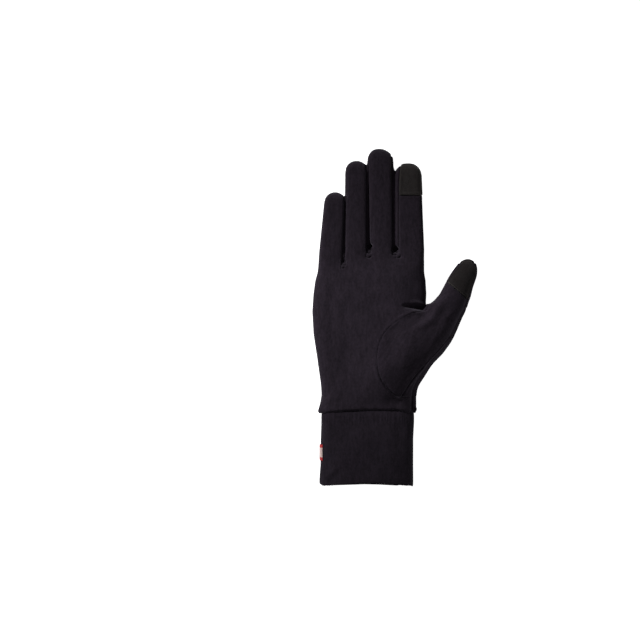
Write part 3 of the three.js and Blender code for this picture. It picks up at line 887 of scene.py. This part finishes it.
def thumb_side(points, seam):
    """Everything on the thumb's side of a seam that runs up the glove."""
    line = thumb_line(seam)
    end = thumb_point(2 * THUMB_LENGTH, seam[-1][1] * THUMB_WIDTH)
    return inside_outline(points, np.vstack([[FAR, line[0][1]], [FAR, FAR], end, line[::-1]]))


def gusset_region(points):
    x, y, z = points.T
    web_y = thumb_point(BACK_SEAM[-1][0] * THUMB_LENGTH, BACK_SEAM[-1][1] * THUMB_WIDTH)[1]
    wall = hand_edge_at(np.clip(y, SEAM_Y, ROOTS_Y)) - GUSSET_EDGE - x
    low = np.maximum.reduce([wall, y - web_y, z - THUMB_SPLIT, -thumb_side(points, BACK_SEAM)])
    middle = np.maximum.reduce([wall, web_y - 3 - y, y - ROOTS_Y - 1, z - GUSSET_TOP])
    finger = FINGERS["index"]
    end = finger["length"] - finger["tip"] * STRIP_END
    high = strip_region(points, finger, "right", 0, end, GUSSET_STRIP, -1)
    past_seam = y - ROOTS_Y - finger["length"] + INDEX_TIP_LENGTH
    high = np.maximum(high, np.minimum(past_seam, z - FINGER_HEIGHT * 0.5))
    return np.minimum.reduce([low, middle, high])


def thumb_region(points):
    z = points[:, 2]
    top = np.maximum(thumb_side(points, PALM_SEAM), THUMB_SPLIT - z)
    below = np.maximum(thumb_side(points, BACK_SEAM), z - THUMB_SPLIT)
    return np.minimum(top, below)


def thumb_back_region(points):
    line = thumb_line(OUTER_SEAM)
    (x0, y0), (_, y1) = line[0], line[-1]
    outline = np.vstack([line, [FAR, y1], [FAR, y0 - 3], [x0, y0 - 3]])
    outside = np.minimum(inside_outline(points, outline), points[:, 2] - THUMB_SPLIT)
    return np.maximum(thumb_region(points), outside)


def thumb_tip_region(points):
    (ax, ay), (bx, by) = THUMB_TIP_SEAM
    run = math.hypot(bx - ax, by - ay)
    past = ((points[:, 0] - ax) * (by - ay) - (points[:, 1] - ay) * (bx - ax)) / run
    return np.maximum.reduce([past, THUMB_SPLIT - points[:, 2], ax - 8 - points[:, 0]])


def index_tip_region(points):
    x, y, z = points.T
    low = ROOTS_Y + FINGERS["index"]["length"] - INDEX_TIP_LENGTH
    left, right = finger_edges(FINGERS["index"], FINGERS["index"]["length"] * 0.8)
    return np.maximum.reduce([low - y, FINGER_HEIGHT * 0.5 - z, left - 3 - x, x - right - 6])


def below_hand_region(points):
    """What lies below the curved end of the hand, where the cuff is sewn on."""
    ends = np.array(HAND_END)
    return points[:, 1] - np.interp(points[:, 0], ends[:, 0], ends[:, 1])


def border_of(mesh):
    """Points along a mesh's open edges."""
    corners = np.empty(len(mesh.loops), np.int32)
    mesh.loops.foreach_get("edge_index", corners)
    open_edges = np.bincount(corners, minlength=len(mesh.edges)) == 1
    points, edges = get_points(mesh), get_edges(mesh)[open_edges]
    a, b = points[edges[:, 0]], points[edges[:, 1]]
    return np.vstack([a, (a + b) / 2])


def distance_to(points, line_points):
    tree = KDTree(len(line_points))
    for k, point in enumerate(line_points):
        tree.insert(point, k)
    tree.balance()
    return np.array([tree.find(point)[2] for point in points])


def ripple(points, size):
    """A smooth irregular wave, between about -1 and 1, of features about that size."""
    x, y, z = (points / size).T
    return (
        np.sin(2.1 * x + 1.3 * y + 0.7 * z)
        + np.sin(-1.7 * x + 2.3 * y + 1.1 * z + 1.9)
        + np.sin(1.1 * x - 2.9 * y + 1.9 * z + 4.2)
        + np.sin(2.7 * x + 0.4 * y - 2.2 * z + 2.6)
    ) / 4


def turned_share(normals):
    """How far the cloth is turned on its side: 0 where it lies flat and 1 where it faces along X."""
    return normals[:, 0] ** 2 / (normals[:, 0] ** 2 + normals[:, 2] ** 2 + 1e-6)


def sew(piece, curl, ridge, pucker):
    """Rolls a cut piece's edges into its seams, and gives the cloth its thickness."""
    mesh = piece.data
    border = border_of(mesh)
    near = distance_to(get_points(mesh), border)
    refine(piece, face_means(mesh, near) < SEAM_REACH)
    points = get_points(mesh)
    normals = get_normals(mesh)
    near = distance_to(points, border)
    flat = np.zeros(len(points))
    for place, size in FLAT_SEAM:
        flat = np.maximum(flat, np.exp(-np.sum(((points[:, :2] - place) / size) ** 4, axis=1)))
    curl = curl * (1 - 0.75 * flat)
    rise = -curl * np.exp(-((near / ROLL_WIDTH) ** 2))
    rise = rise + ridge * np.exp(-(((near - RIDGE_PLACE) / RIDGE_WIDTH) ** 2))
    pucker = pucker * (1 + flat * smoothstep(5, 12, points[:, 1]))
    rise += pucker * ripple(points, PUCKER_SIZE) * np.exp(-near / PUCKER_REACH) * smoothstep(0, 0.8, near)
    points = points + normals * rise[:, None]
    points[:, 2] = np.maximum(points[:, 2], 0)
    set_points(mesh, points)
    keep_numbers(mesh, "turned", turned_share(normals))
    # Painted shade beside the seams, kept in the edge attribute: darker towards each seam
    keep_numbers(mesh, "edge", np.exp(-((near / SHADE_WIDTH) ** 2)) * (1 - flat))
    triangles = sum(len(face.vertices) - 2 for face in mesh.polygons)
    if triangles > WALL_TRIANGLES:
        apply_modifier(piece, "DECIMATE", ratio=WALL_TRIANGLES / triangles)
    apply_modifier(piece, "SOLIDIFY", thickness=CLOTH * MM, offset=-1)
    for name in ("flat", "shape"):
        layer = mesh.attributes.get(name)
        if layer:
            mesh.attributes.remove(layer)
    select_only(piece)
    bpy.ops.object.shade_smooth()
    return piece


def add_stitches(piece, start, end, count):
    """Sews a row of thread stitches onto the top of a piece, from one place in plan to another."""
    points = get_points(piece.data)
    line = np.linspace(start, end, count * STITCH_STEPS + 1)
    tops = []
    for place in line:
        near = np.sum((points[:, :2] - place) ** 2, axis=1) < STITCH_REACH**2
        tops.append(points[near, 2].max() if near.any() else np.nan)
    stitches = []
    for k in range(count):
        first, last = STITCH_STEPS * k, STITCH_STEPS * (k + 1) - 1
        a, b = (np.array([*line[n], tops[n]]) for n in (first, last))
        if not np.isfinite(a[2] + b[2]):
            continue
        bpy.ops.object.select_all(action="DESELECT")
        middle = tuple((a + b) / 2 * MM)
        bpy.ops.mesh.primitive_uv_sphere_add(segments=10, ring_count=6, radius=MM, location=middle)
        stitch = bpy.context.object
        stitch.scale = (np.linalg.norm(b - a) / 2 + STITCH_WIDTH / 2, STITCH_WIDTH, STITCH_HEIGHT)
        stitch.rotation_euler = Vector(b - a).to_track_quat("X", "Z").to_euler()
        bpy.ops.object.transform_apply(location=True, rotation=True, scale=True)
        keep_numbers(stitch.data, "thread", np.ones(len(stitch.data.vertices)))
        stitches.append(stitch)
    select_only(piece)
    for stitch in stitches:
        stitch.select_set(True)
    bpy.ops.object.join()
    bpy.ops.object.shade_smooth()


def refine_crotches(skin):
    """Divides the skin further round the crotches, and hardly below their floor."""
    spots = np.array(CROTCHES)
    for reach in CROTCH_REACHES:
        points = get_points(skin.data)
        gap = np.min(np.linalg.norm(points[:, None, :2] - spots[None], axis=2), axis=1)
        refine(skin, face_means(skin.data, gap + 20 * (points[:, 2] < CROTCH_FLOOR)) < reach)


# The skin is sculpted whole, cut into its pieces, and sewn
skin = joined_skin()
set_points(skin.data, blend_joins(skin.data))
refine_crotches(skin)
skin_points = get_points(skin.data)
keep_vectors(skin.data, "flat", skin_points)
set_points(skin.data, sculpt(skin.data, skin_points))
keep_vectors(skin.data, "shape", get_points(skin.data))

hand_points = get_points(skin.data)
cuts = [("spare", below_hand_region)]
cuts += [(f"fourchette_{web['from']}_{web['to']}", fourchette_region(web)) for web in WEBS]
cuts += [
    ("side_gusset", gusset_region),
    ("thumb_touch_tip", thumb_tip_region),
    ("index_touch_tip", index_tip_region),
    ("thumb_back", thumb_back_region),
    ("thumb_front", thumb_region),
]
sewn = {name: cut_out(skin, name, region) for name, region in cuts}
bpy.data.objects.remove(sewn.pop("spare"))
skin.name = "hand"
sewn["hand_piece"] = skin
for name, piece in sewn.items():
    sew(piece, *SEWING.get(name, SEWING["hand_piece"]))
    piece.name = f"{name}_cloth"
add_stitches(sewn["index_touch_tip"], *INDEX_STITCHES)
add_stitches(sewn["thumb_touch_tip"], *THUMB_STITCHES)


def top_profile(points, low_y, high_y, places):
    """The height of the top surface between two values of y, at places across it."""
    band = points[(points[:, 1] > low_y) & (points[:, 1] < high_y)]
    return np.array([band[np.abs(band[:, 0] - place) < 2, 2].max() for place in places])


def cuff_cloth(hand_points):
    """The doubled band of the cuff, gathered under its seam and folded at its hem."""
    shape = tube("cuff_cloth", CUFF_SECTIONS)
    mesh = shape.data
    points = get_points(mesh)
    ends = (CUFF_SECTIONS[0][0], CUFF_SECTIONS[-1][0])
    middles = face_means(mesh, points[:, 1])
    caps = (np.abs(middles - ends[0]) < 0.01) | (np.abs(middles - ends[1]) < 0.01)
    select_faces(shape, caps)
    bpy.ops.mesh.delete(type="FACE")
    bpy.ops.object.mode_set(mode="OBJECT")
    apply_modifier(shape, "SOLIDIFY", thickness=CUFF_CLOTH * MM, offset=-1)
    apply_modifier(shape, "REMESH", mode="VOXEL", voxel_size=CUFF_STEP * MM, adaptivity=0.0)
    mesh = shape.data
    points, edges = get_points(mesh), get_edges(mesh)
    points = relaxed(points, edges, np.ones(len(points)), SKIN_ROUNDS)
    points[:, 2] = np.maximum(points[:, 2], 0)
    set_points(mesh, points)
    normals = get_normals(mesh)
    keep_numbers(mesh, "turned", turned_share(normals))
    # Painted shade along the folded hem, kept in the edge attribute
    keep_numbers(mesh, "edge", np.exp(-(((points[:, 1] - HEM_Y) / HEM_SHADE) ** 2)))
    x, y, z = points.T
    below = SEAM_Y - y
    gathers = np.sin(x * 2.6 + 2.2 * np.sin(x * 0.45) + 1.5 * np.sin(x * 0.19 + y * 0.1))
    gathers = gathers * smoothstep(-3, 1, below) * (1 - smoothstep(3, 13, below))
    places = np.linspace(-32, 32, 33)
    fall = top_profile(hand_points, -53, -50, places) - top_profile(points, -62, -57, places) - 0.8
    crown = -CUFF_CROWN * np.where(x < 0, 1.3, 1.0) * (x / CUFF_HALF) ** 2
    level = smoothstep(-2, 30, below)
    rise = np.interp(x, places, fall) * (1 - level) + crown * level
    rise += GATHER_HEIGHT * gathers * (0.4 + 0.6 * np.exp(-((x / 22) ** 2)))
    rise += RIPPLE_HEIGHT * ripple(points * (1, 0.45, 1), RIPPLE_SIZE) * smoothstep(2, 14, below)
    for fold in CUFF_FOLDS:
        rise += fold_height(points, fold) * smoothstep(6, 11, z)
    points[:, 2] += rise * smoothstep(3, 9, z)
    top, under = (np.interp(x, *zip(*line)) for line in (HEM_TOP, HEM_UNDER))
    hem = under + (top - under) * smoothstep(4, 11, z)
    points[:, 1] += (1 - smoothstep(0, 20, y - HEM_Y)) * (hem - HEM_Y)
    set_points(mesh, points)
    select_only(shape)
    bpy.ops.object.shade_smooth()
    return shape


sewn["cuff"] = cuff_cloth(hand_points)
sewn["cuff"].name = "cuff_cloth"


def woven_tab(cuff_points):
    """A small tape sewn flat on the cuff's side."""
    centre = (tab_low + tab_high) / 2
    length = tab_high[1] - tab_low[1]
    bpy.ops.object.select_all(action="DESELECT")
    bpy.ops.mesh.primitive_cube_add(size=MM, location=(0, centre[1] * MM, 0))
    tape = bpy.context.object
    tape.name = "side_tab_tape"
    bpy.ops.object.mode_set(mode="EDIT")
    bpy.ops.mesh.select_all(action="SELECT")
    bpy.ops.transform.resize(value=(TAPE_THICKNESS, length, TAPE_HIGH - TAPE_LOW))
    bpy.ops.mesh.subdivide(number_cuts=11)
    bpy.ops.object.mode_set(mode="OBJECT")
    bpy.ops.object.transform_apply(location=True, rotation=True, scale=True)
    mesh = tape.data
    points = get_points(mesh)
    points[:, 2] += (TAPE_HIGH + TAPE_LOW) / 2
    heights = np.arange(TAPE_LOW - 1, TAPE_HIGH + 2)
    band = cuff_points[np.abs(cuff_points[:, 1] - centre[1]) < length / 2]
    side = [band[np.abs(band[:, 2] - height) < 0.6, 0].min() for height in heights]
    side = np.interp(points[:, 2], heights, side)
    ends = np.abs(points[:, 1] - centre[1]) / (length / 2)
    points[:, 0] += side - TAPE_THICKNESS * 0.6 + 0.25 * ends**4
    set_points(mesh, points)
    keep_numbers(mesh, "turned", np.ones(len(points)))
    keep_numbers(mesh, "edge", np.zeros(len(points)))
    select_only(tape)
    bpy.ops.object.shade_smooth_by_angle(angle=math.radians(40))
    return tape


sewn["side_tab"] = woven_tab(get_points(sewn["cuff"].data))


# Materials
def new_group(name, inputs, outputs):
    group = bpy.data.node_groups.new(name, "ShaderNodeTree")
    for label, kind, value in inputs:
        socket = group.interface.new_socket(label, in_out="INPUT", socket_type=kind)
        if value is not None:
            socket.default_value = value
    for label, kind in outputs:
        group.interface.new_socket(label, in_out="OUTPUT", socket_type=kind)
    return group


class Nodes:
    """Short ways to add nodes to one tree."""

    def __init__(self, tree):
        self.tree = tree

    def add(self, kind, **settings):
        node = self.tree.nodes.new(kind)
        for key, value in settings.items():
            setattr(node, key, value)
        return node

    def link(self, source, target):
        self.tree.links.new(source, target)

    def put(self, socket, value):
        if isinstance(value, bpy.types.NodeSocket):
            self.link(value, socket)
        else:
            socket.default_value = value

    def math(self, operation, a, b=0.0, c=0.0):
        node = self.add("ShaderNodeMath", operation=operation)
        for socket, value in zip(node.inputs, (a, b, c)):
            self.put(socket, value)
        return node.outputs[0]

    def mix(self, share, a, b):
        node = self.add("ShaderNodeMix", data_type="FLOAT")
        for socket, value in zip((node.inputs[0], node.inputs[2], node.inputs[3]), (share, a, b)):
            self.put(socket, value)
        return node.outputs[0]

    def noise(self, vector, scale, detail=2.0, stretch=(1, 1, 1)):
        mapping = self.add("ShaderNodeMapping")
        self.link(vector, mapping.inputs["Vector"])
        mapping.inputs["Scale"].default_value = stretch
        node = self.add("ShaderNodeTexNoise")
        self.link(mapping.outputs[0], node.inputs["Vector"])
        node.inputs["Scale"].default_value = scale
        node.inputs["Detail"].default_value = detail
        return node.outputs[0]


def knit_group():
    """Rows of small V-shaped stitches in wales along Y, with a height and a shade of about 0 to 1."""
    group = new_group(
        "Knit stitches",
        [
            ("Vector", "NodeSocketVector", None),
            ("Turned", "NodeSocketFloat", 0.0),
            ("Wales per metre", "NodeSocketFloat", 1200.0),
            ("Streaks per metre", "NodeSocketFloat", 560.0),
        ],
        [("Height", "NodeSocketFloat"), ("Shade", "NodeSocketFloat")],
    )
    n = Nodes(group)
    inputs = n.add("NodeGroupInput")
    outputs = n.add("NodeGroupOutput")
    vector, turned, wales, streaks = inputs.outputs[:4]
    xyz = n.add("ShaderNodeSeparateXYZ")
    n.link(vector, xyz.inputs[0])
    x, y, z = xyz.outputs
    heights = []
    for across in (x, z):
        column_place = n.math("MULTIPLY", across, wales)
        fraction = n.math("FRACT", n.math("ADD", column_place, 500.0))
        from_middle = n.math("ABSOLUTE", n.math("SUBTRACT", fraction, 0.5))
        rows = n.math("MULTIPLY", n.math("MULTIPLY", y, wales), 1.25)
        row = n.math("ADD", rows, n.math("MULTIPLY", from_middle, 1.5))
        stitch = n.math("MULTIPLY_ADD", n.math("COSINE", n.math("MULTIPLY", row, math.tau)), 0.25, 0.55)
        fall = n.math("POWER", n.math("MULTIPLY", from_middle, 2.0), 2.5)
        crown = n.math("SUBTRACT", 1.0, n.math("MULTIPLY", fall, 0.8))
        heights.append(n.math("MULTIPLY", stitch, crown))
    height = n.mix(turned, *heights)
    scaled = n.add("ShaderNodeVectorMath", operation="SCALE")
    n.link(vector, scaled.inputs[0])
    n.link(streaks, scaled.inputs["Scale"])
    long_streaks = n.noise(scaled.outputs[0], 1.0, 2.0, (1.0, 0.26, 1.0))
    blotches = n.noise(scaled.outputs[0], 0.35, 2.0, (1.0, 0.5, 1.0))
    fuzz = n.noise(scaled.outputs[0], 1.7, 1.0, (1.0, 0.6, 1.0))
    mottle = n.math("MULTIPLY_ADD", fuzz, 0.4, n.math("MULTIPLY", blotches, 0.2))
    shade = n.math("MULTIPLY_ADD", long_streaks, 0.4, mottle)
    relief = n.math("MULTIPLY_ADD", long_streaks, 0.35, n.math("MULTIPLY", height, 0.8))
    n.link(relief, outputs.inputs["Height"])
    n.link(shade, outputs.inputs["Shade"])
    return group


knit = knit_group()


def cloth_material(name, dark, light, knitting, turn=0.0):
    """Knitted cloth between a dark and a light colour, with its wales turned by an angle in plan."""
    material = bpy.data.materials.new(name)
    material.use_nodes = True
    n = Nodes(material.node_tree)
    n.tree.nodes.clear()
    place = n.add("ShaderNodeTexCoord")
    mapping = n.add("ShaderNodeMapping")
    n.link(place.outputs["Object"], mapping.inputs["Vector"])
    mapping.inputs["Rotation"].default_value = (0, 0, turn)
    turned = n.add("ShaderNodeAttribute", attribute_name="turned")
    edge = n.add("ShaderNodeAttribute", attribute_name="edge")
    stitches = n.add("ShaderNodeGroup", node_tree=knit)
    n.link(mapping.outputs[0], stitches.inputs["Vector"])
    n.link(turned.outputs["Fac"], stitches.inputs["Turned"])
    stitches.inputs["Wales per metre"].default_value = knitting["wales"]
    stitches.inputs["Streaks per metre"].default_value = knitting["streaks"]
    contrast = n.add("ShaderNodeMapRange")
    n.link(stitches.outputs["Shade"], contrast.inputs["Value"])
    contrast.inputs["From Min"].default_value = 0.36
    contrast.inputs["From Max"].default_value = 0.64
    # A quarter of the tone is painted shade from the stitches' height: dark between them, light on top
    tone = n.mix(0.25, contrast.outputs[0], stitches.outputs["Height"])
    # Painted shade: up to a third darker by the edge attribute, beside the seams and along the hem
    tone = n.math("MULTIPLY", tone, n.math("MULTIPLY_ADD", edge.outputs["Fac"], -0.35, 1.0))
    colour = n.add("ShaderNodeMix", data_type="RGBA")
    n.link(tone, colour.inputs["Factor"])
    colour.inputs["A"].default_value = (*dark, 1)
    colour.inputs["B"].default_value = (*light, 1)
    thread = n.add("ShaderNodeAttribute", attribute_name="thread")
    sewn_colour = n.add("ShaderNodeMix", data_type="RGBA")
    n.link(thread.outputs["Fac"], sewn_colour.inputs["Factor"])
    n.link(colour.outputs["Result"], sewn_colour.inputs["A"])
    sewn_colour.inputs["B"].default_value = (*THREAD, 1)
    relief = n.add("ShaderNodeBump")
    relief.inputs["Strength"].default_value = 1.0
    relief.inputs["Distance"].default_value = knitting["bump"] * MM
    n.link(stitches.outputs["Height"], relief.inputs["Height"])
    surface = n.add("ShaderNodeBsdfPrincipled")
    n.link(sewn_colour.outputs["Result"], surface.inputs["Base Color"])
    n.link(relief.outputs[0], surface.inputs["Normal"])
    surface.inputs["Roughness"].default_value = 0.92
    surface.inputs["Specular IOR Level"].default_value = 0.12
    surface.inputs["Sheen Weight"].default_value = knitting["sheen"]
    surface.inputs["Sheen Roughness"].default_value = 0.5
    surface.inputs["Sheen Tint"].default_value = knitting["sheen_tint"]
    output = n.add("ShaderNodeOutputMaterial")
    n.link(surface.outputs[0], output.inputs["Surface"])
    return material


def tape_material():
    """Red woven tape with a plain pale panel in its middle."""
    material = bpy.data.materials.new("Red woven tape")
    material.use_nodes = True
    n = Nodes(material.node_tree)
    n.tree.nodes.clear()
    place = n.add("ShaderNodeTexCoord")
    xyz = n.add("ShaderNodeSeparateXYZ")
    n.link(place.outputs["Object"], xyz.inputs[0])
    _, y, z = xyz.outputs
    weft = n.math("SINE", n.math("MULTIPLY", y, math.tau / (TAPE_WEAVE * MM)))
    warp = n.math("SINE", n.math("MULTIPLY", z, math.tau / (TAPE_WEAVE * MM)))
    weave = n.math("MULTIPLY_ADD", n.math("MULTIPLY", weft, warp), 0.5, 0.5)
    start, length = float(tab_low[1] * MM), float((tab_high[1] - tab_low[1]) * MM)
    along = n.math("DIVIDE", n.math("SUBTRACT", y, start), length)
    near_end = n.math("ABSOLUTE", n.math("SUBTRACT", along, 0.5))
    panel = n.math("LESS_THAN", near_end, 0.3)
    colour = n.add("ShaderNodeMix", data_type="RGBA")
    n.link(panel, colour.inputs["Factor"])
    colour.inputs["A"].default_value = (0.56, 0.028, 0.035, 1)
    colour.inputs["B"].default_value = (0.78, 0.6, 0.56, 1)
    shaded = n.add("ShaderNodeMix", data_type="RGBA", blend_type="MULTIPLY")
    n.link(n.math("MULTIPLY", weave, 0.3), shaded.inputs["Factor"])
    n.link(colour.outputs["Result"], shaded.inputs["A"])
    shaded.inputs["B"].default_value = (0.55, 0.5, 0.5, 1)
    relief = n.add("ShaderNodeBump")
    relief.inputs["Distance"].default_value = 0.1 * MM
    n.link(weave, relief.inputs["Height"])
    surface = n.add("ShaderNodeBsdfPrincipled")
    n.link(shaded.outputs["Result"], surface.inputs["Base Color"])
    n.link(relief.outputs[0], surface.inputs["Normal"])
    surface.inputs["Roughness"].default_value = 0.6
    surface.inputs["Sheen Weight"].default_value = 0.15
    output = n.add("ShaderNodeOutputMaterial")
    n.link(surface.outputs[0], output.inputs["Surface"])
    return material


# The colours of the cloth, from dark to light. Its tone differs at random along streaks, and a
# quarter of it is painted shade: dark between its stitches and light on them
THREAD = (0.036, 0.032, 0.031)
HAND_COLOURS = (0.0075, 0.0050, 0.0082), (0.0230, 0.0165, 0.0247)
# The cuff's colours are the hand's made a quarter darker: painted shade for the dimmer light there
CUFF_SHADED_COLOURS = (0.0056, 0.0038, 0.0062), (0.0174, 0.0123, 0.0190)
INDEX_TOUCH_COLOURS = (0.0140, 0.0116, 0.0116), (0.0295, 0.0255, 0.0250)
# The thumb tip's colours are a darker copy of the forefinger tip's: painted shade for the dimmer light
THUMB_TOUCH_SHADED_COLOURS = (0.0090, 0.0072, 0.0075), (0.0190, 0.0160, 0.0163)

# The two knits: wales and streaks to the metre, the depth of the stitches, and their sheen
JERSEY_KNIT = {
    "wales": 1200,
    "streaks": 560,
    "bump": 0.12,
    "sheen": 0.12,
    "sheen_tint": (0.9, 0.82, 1.0, 1.0),
}
TOUCH_KNIT = {
    "wales": 1700,
    "streaks": 900,
    "bump": 0.08,
    "sheen": 0.15,
    "sheen_tint": (1.0, 0.93, 0.88, 1.0),
}

hand_jersey = cloth_material("Jersey", *HAND_COLOURS, JERSEY_KNIT)
thumb_jersey = cloth_material("Thumb jersey", *HAND_COLOURS, JERSEY_KNIT, THUMB_ANGLE)
index_touch_cloth = cloth_material("Touch cloth", *INDEX_TOUCH_COLOURS, TOUCH_KNIT)
thumb_touch_cloth = cloth_material("Thumb touch cloth with painted shade", *THUMB_TOUCH_SHADED_COLOURS, TOUCH_KNIT, THUMB_ANGLE)
cuff_jersey = cloth_material("Cuff jersey with painted shade", *CUFF_SHADED_COLOURS, JERSEY_KNIT)
red_tape = tape_material()

FINISH = {
    "hand_piece": (hand_jersey, "jersey"),
    "side_gusset": (hand_jersey, "jersey"),
    "thumb_front": (thumb_jersey, "jersey"),
    "thumb_back": (thumb_jersey, "jersey"),
    "thumb_touch_tip": (thumb_touch_cloth, "touch_fabric"),
    "index_touch_tip": (index_touch_cloth, "touch_fabric"),
    "cuff": (cuff_jersey, "cuff_jersey"),
    "side_tab": (red_tape, "tab"),
}

for name, piece in sewn.items():
    material, slot = FINISH.get(name, FINISH["hand_piece"])
    piece.data.materials.clear()
    piece.data.materials.append(material)
    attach(piece, "root")
    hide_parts(name)


# Studio: a pale floor, a narrow light from the upper left, a weak one from the right, and a camera
# straight above
def floor_material():
    material = bpy.data.materials.new("Pale floor")
    material.use_nodes = True
    surface = material.node_tree.nodes["Principled BSDF"]
    surface.inputs["Base Color"].default_value = (0.93, 0.93, 0.93, 1)
    surface.inputs["Roughness"].default_value = 0.9
    surface.inputs["Specular IOR Level"].default_value = 0.1
    surface.inputs["Emission Color"].default_value = (1, 1, 1, 1)
    n = Nodes(material.node_tree)
    path = n.add("ShaderNodeLightPath")
    n.link(path.outputs["Is Camera Ray"], surface.inputs["Emission Strength"])
    return material


bpy.ops.object.select_all(action="DESELECT")
bpy.ops.mesh.primitive_plane_add(size=6, location=(0, 0, -0.05 * MM))
floor = bpy.context.object
floor.name = "floor"
floor.data.materials.append(floor_material())


def add_light(name, kind, place, aim, power, **settings):
    """A light at a place, turned towards its aim."""
    data = bpy.data.lights.new(name, kind)
    data.energy = power
    for key, value in settings.items():
        setattr(data, key, value)
    light = bpy.data.objects.new(name, data)
    bpy.context.scene.collection.objects.link(light)
    light.location = place
    way = light.location - Vector(aim)
    light.rotation_euler = way.to_track_quat("Z", "Y").to_euler()


key_beam = {"shadow_soft_size": 0.12, "spot_size": math.radians(9), "spot_blend": 1}
add_light("key", "SPOT", (-1.75, 1.3, 1.1), (0.018, -0.01, 0.0), 332, **key_beam)
add_light("fill", "AREA", (1.5, -0.5, 0.3), (0.0, 0.0, 0.0), 3, shape="DISK", size=0.5)

world = bpy.data.worlds.new("studio")
bpy.context.scene.world = world
world.use_nodes = True
world.node_tree.nodes["Background"].inputs["Color"].default_value = (0.98, 0.98, 1.0, 1)
world.node_tree.nodes["Background"].inputs["Strength"].default_value = 0.16

scene = bpy.context.scene
scene.view_settings.view_transform = "Standard"
scene.view_settings.look = "None"

camera_data = bpy.data.cameras.new("camera")
camera_data.sensor_fit = "VERTICAL"
camera_data.sensor_height = SENSOR_HEIGHT
camera_data.lens = SENSOR_HEIGHT * CAMERA_HEIGHT / FRAME_HEIGHT
camera = bpy.data.objects.new("camera", camera_data)
scene.collection.objects.link(camera)
camera.location = (FRAME_CENTRE[0] * MM, FRAME_CENTRE[1] * MM, (CAMERA_HEIGHT + GLOVE_MIDDLE) * MM)
scene.camera = camera
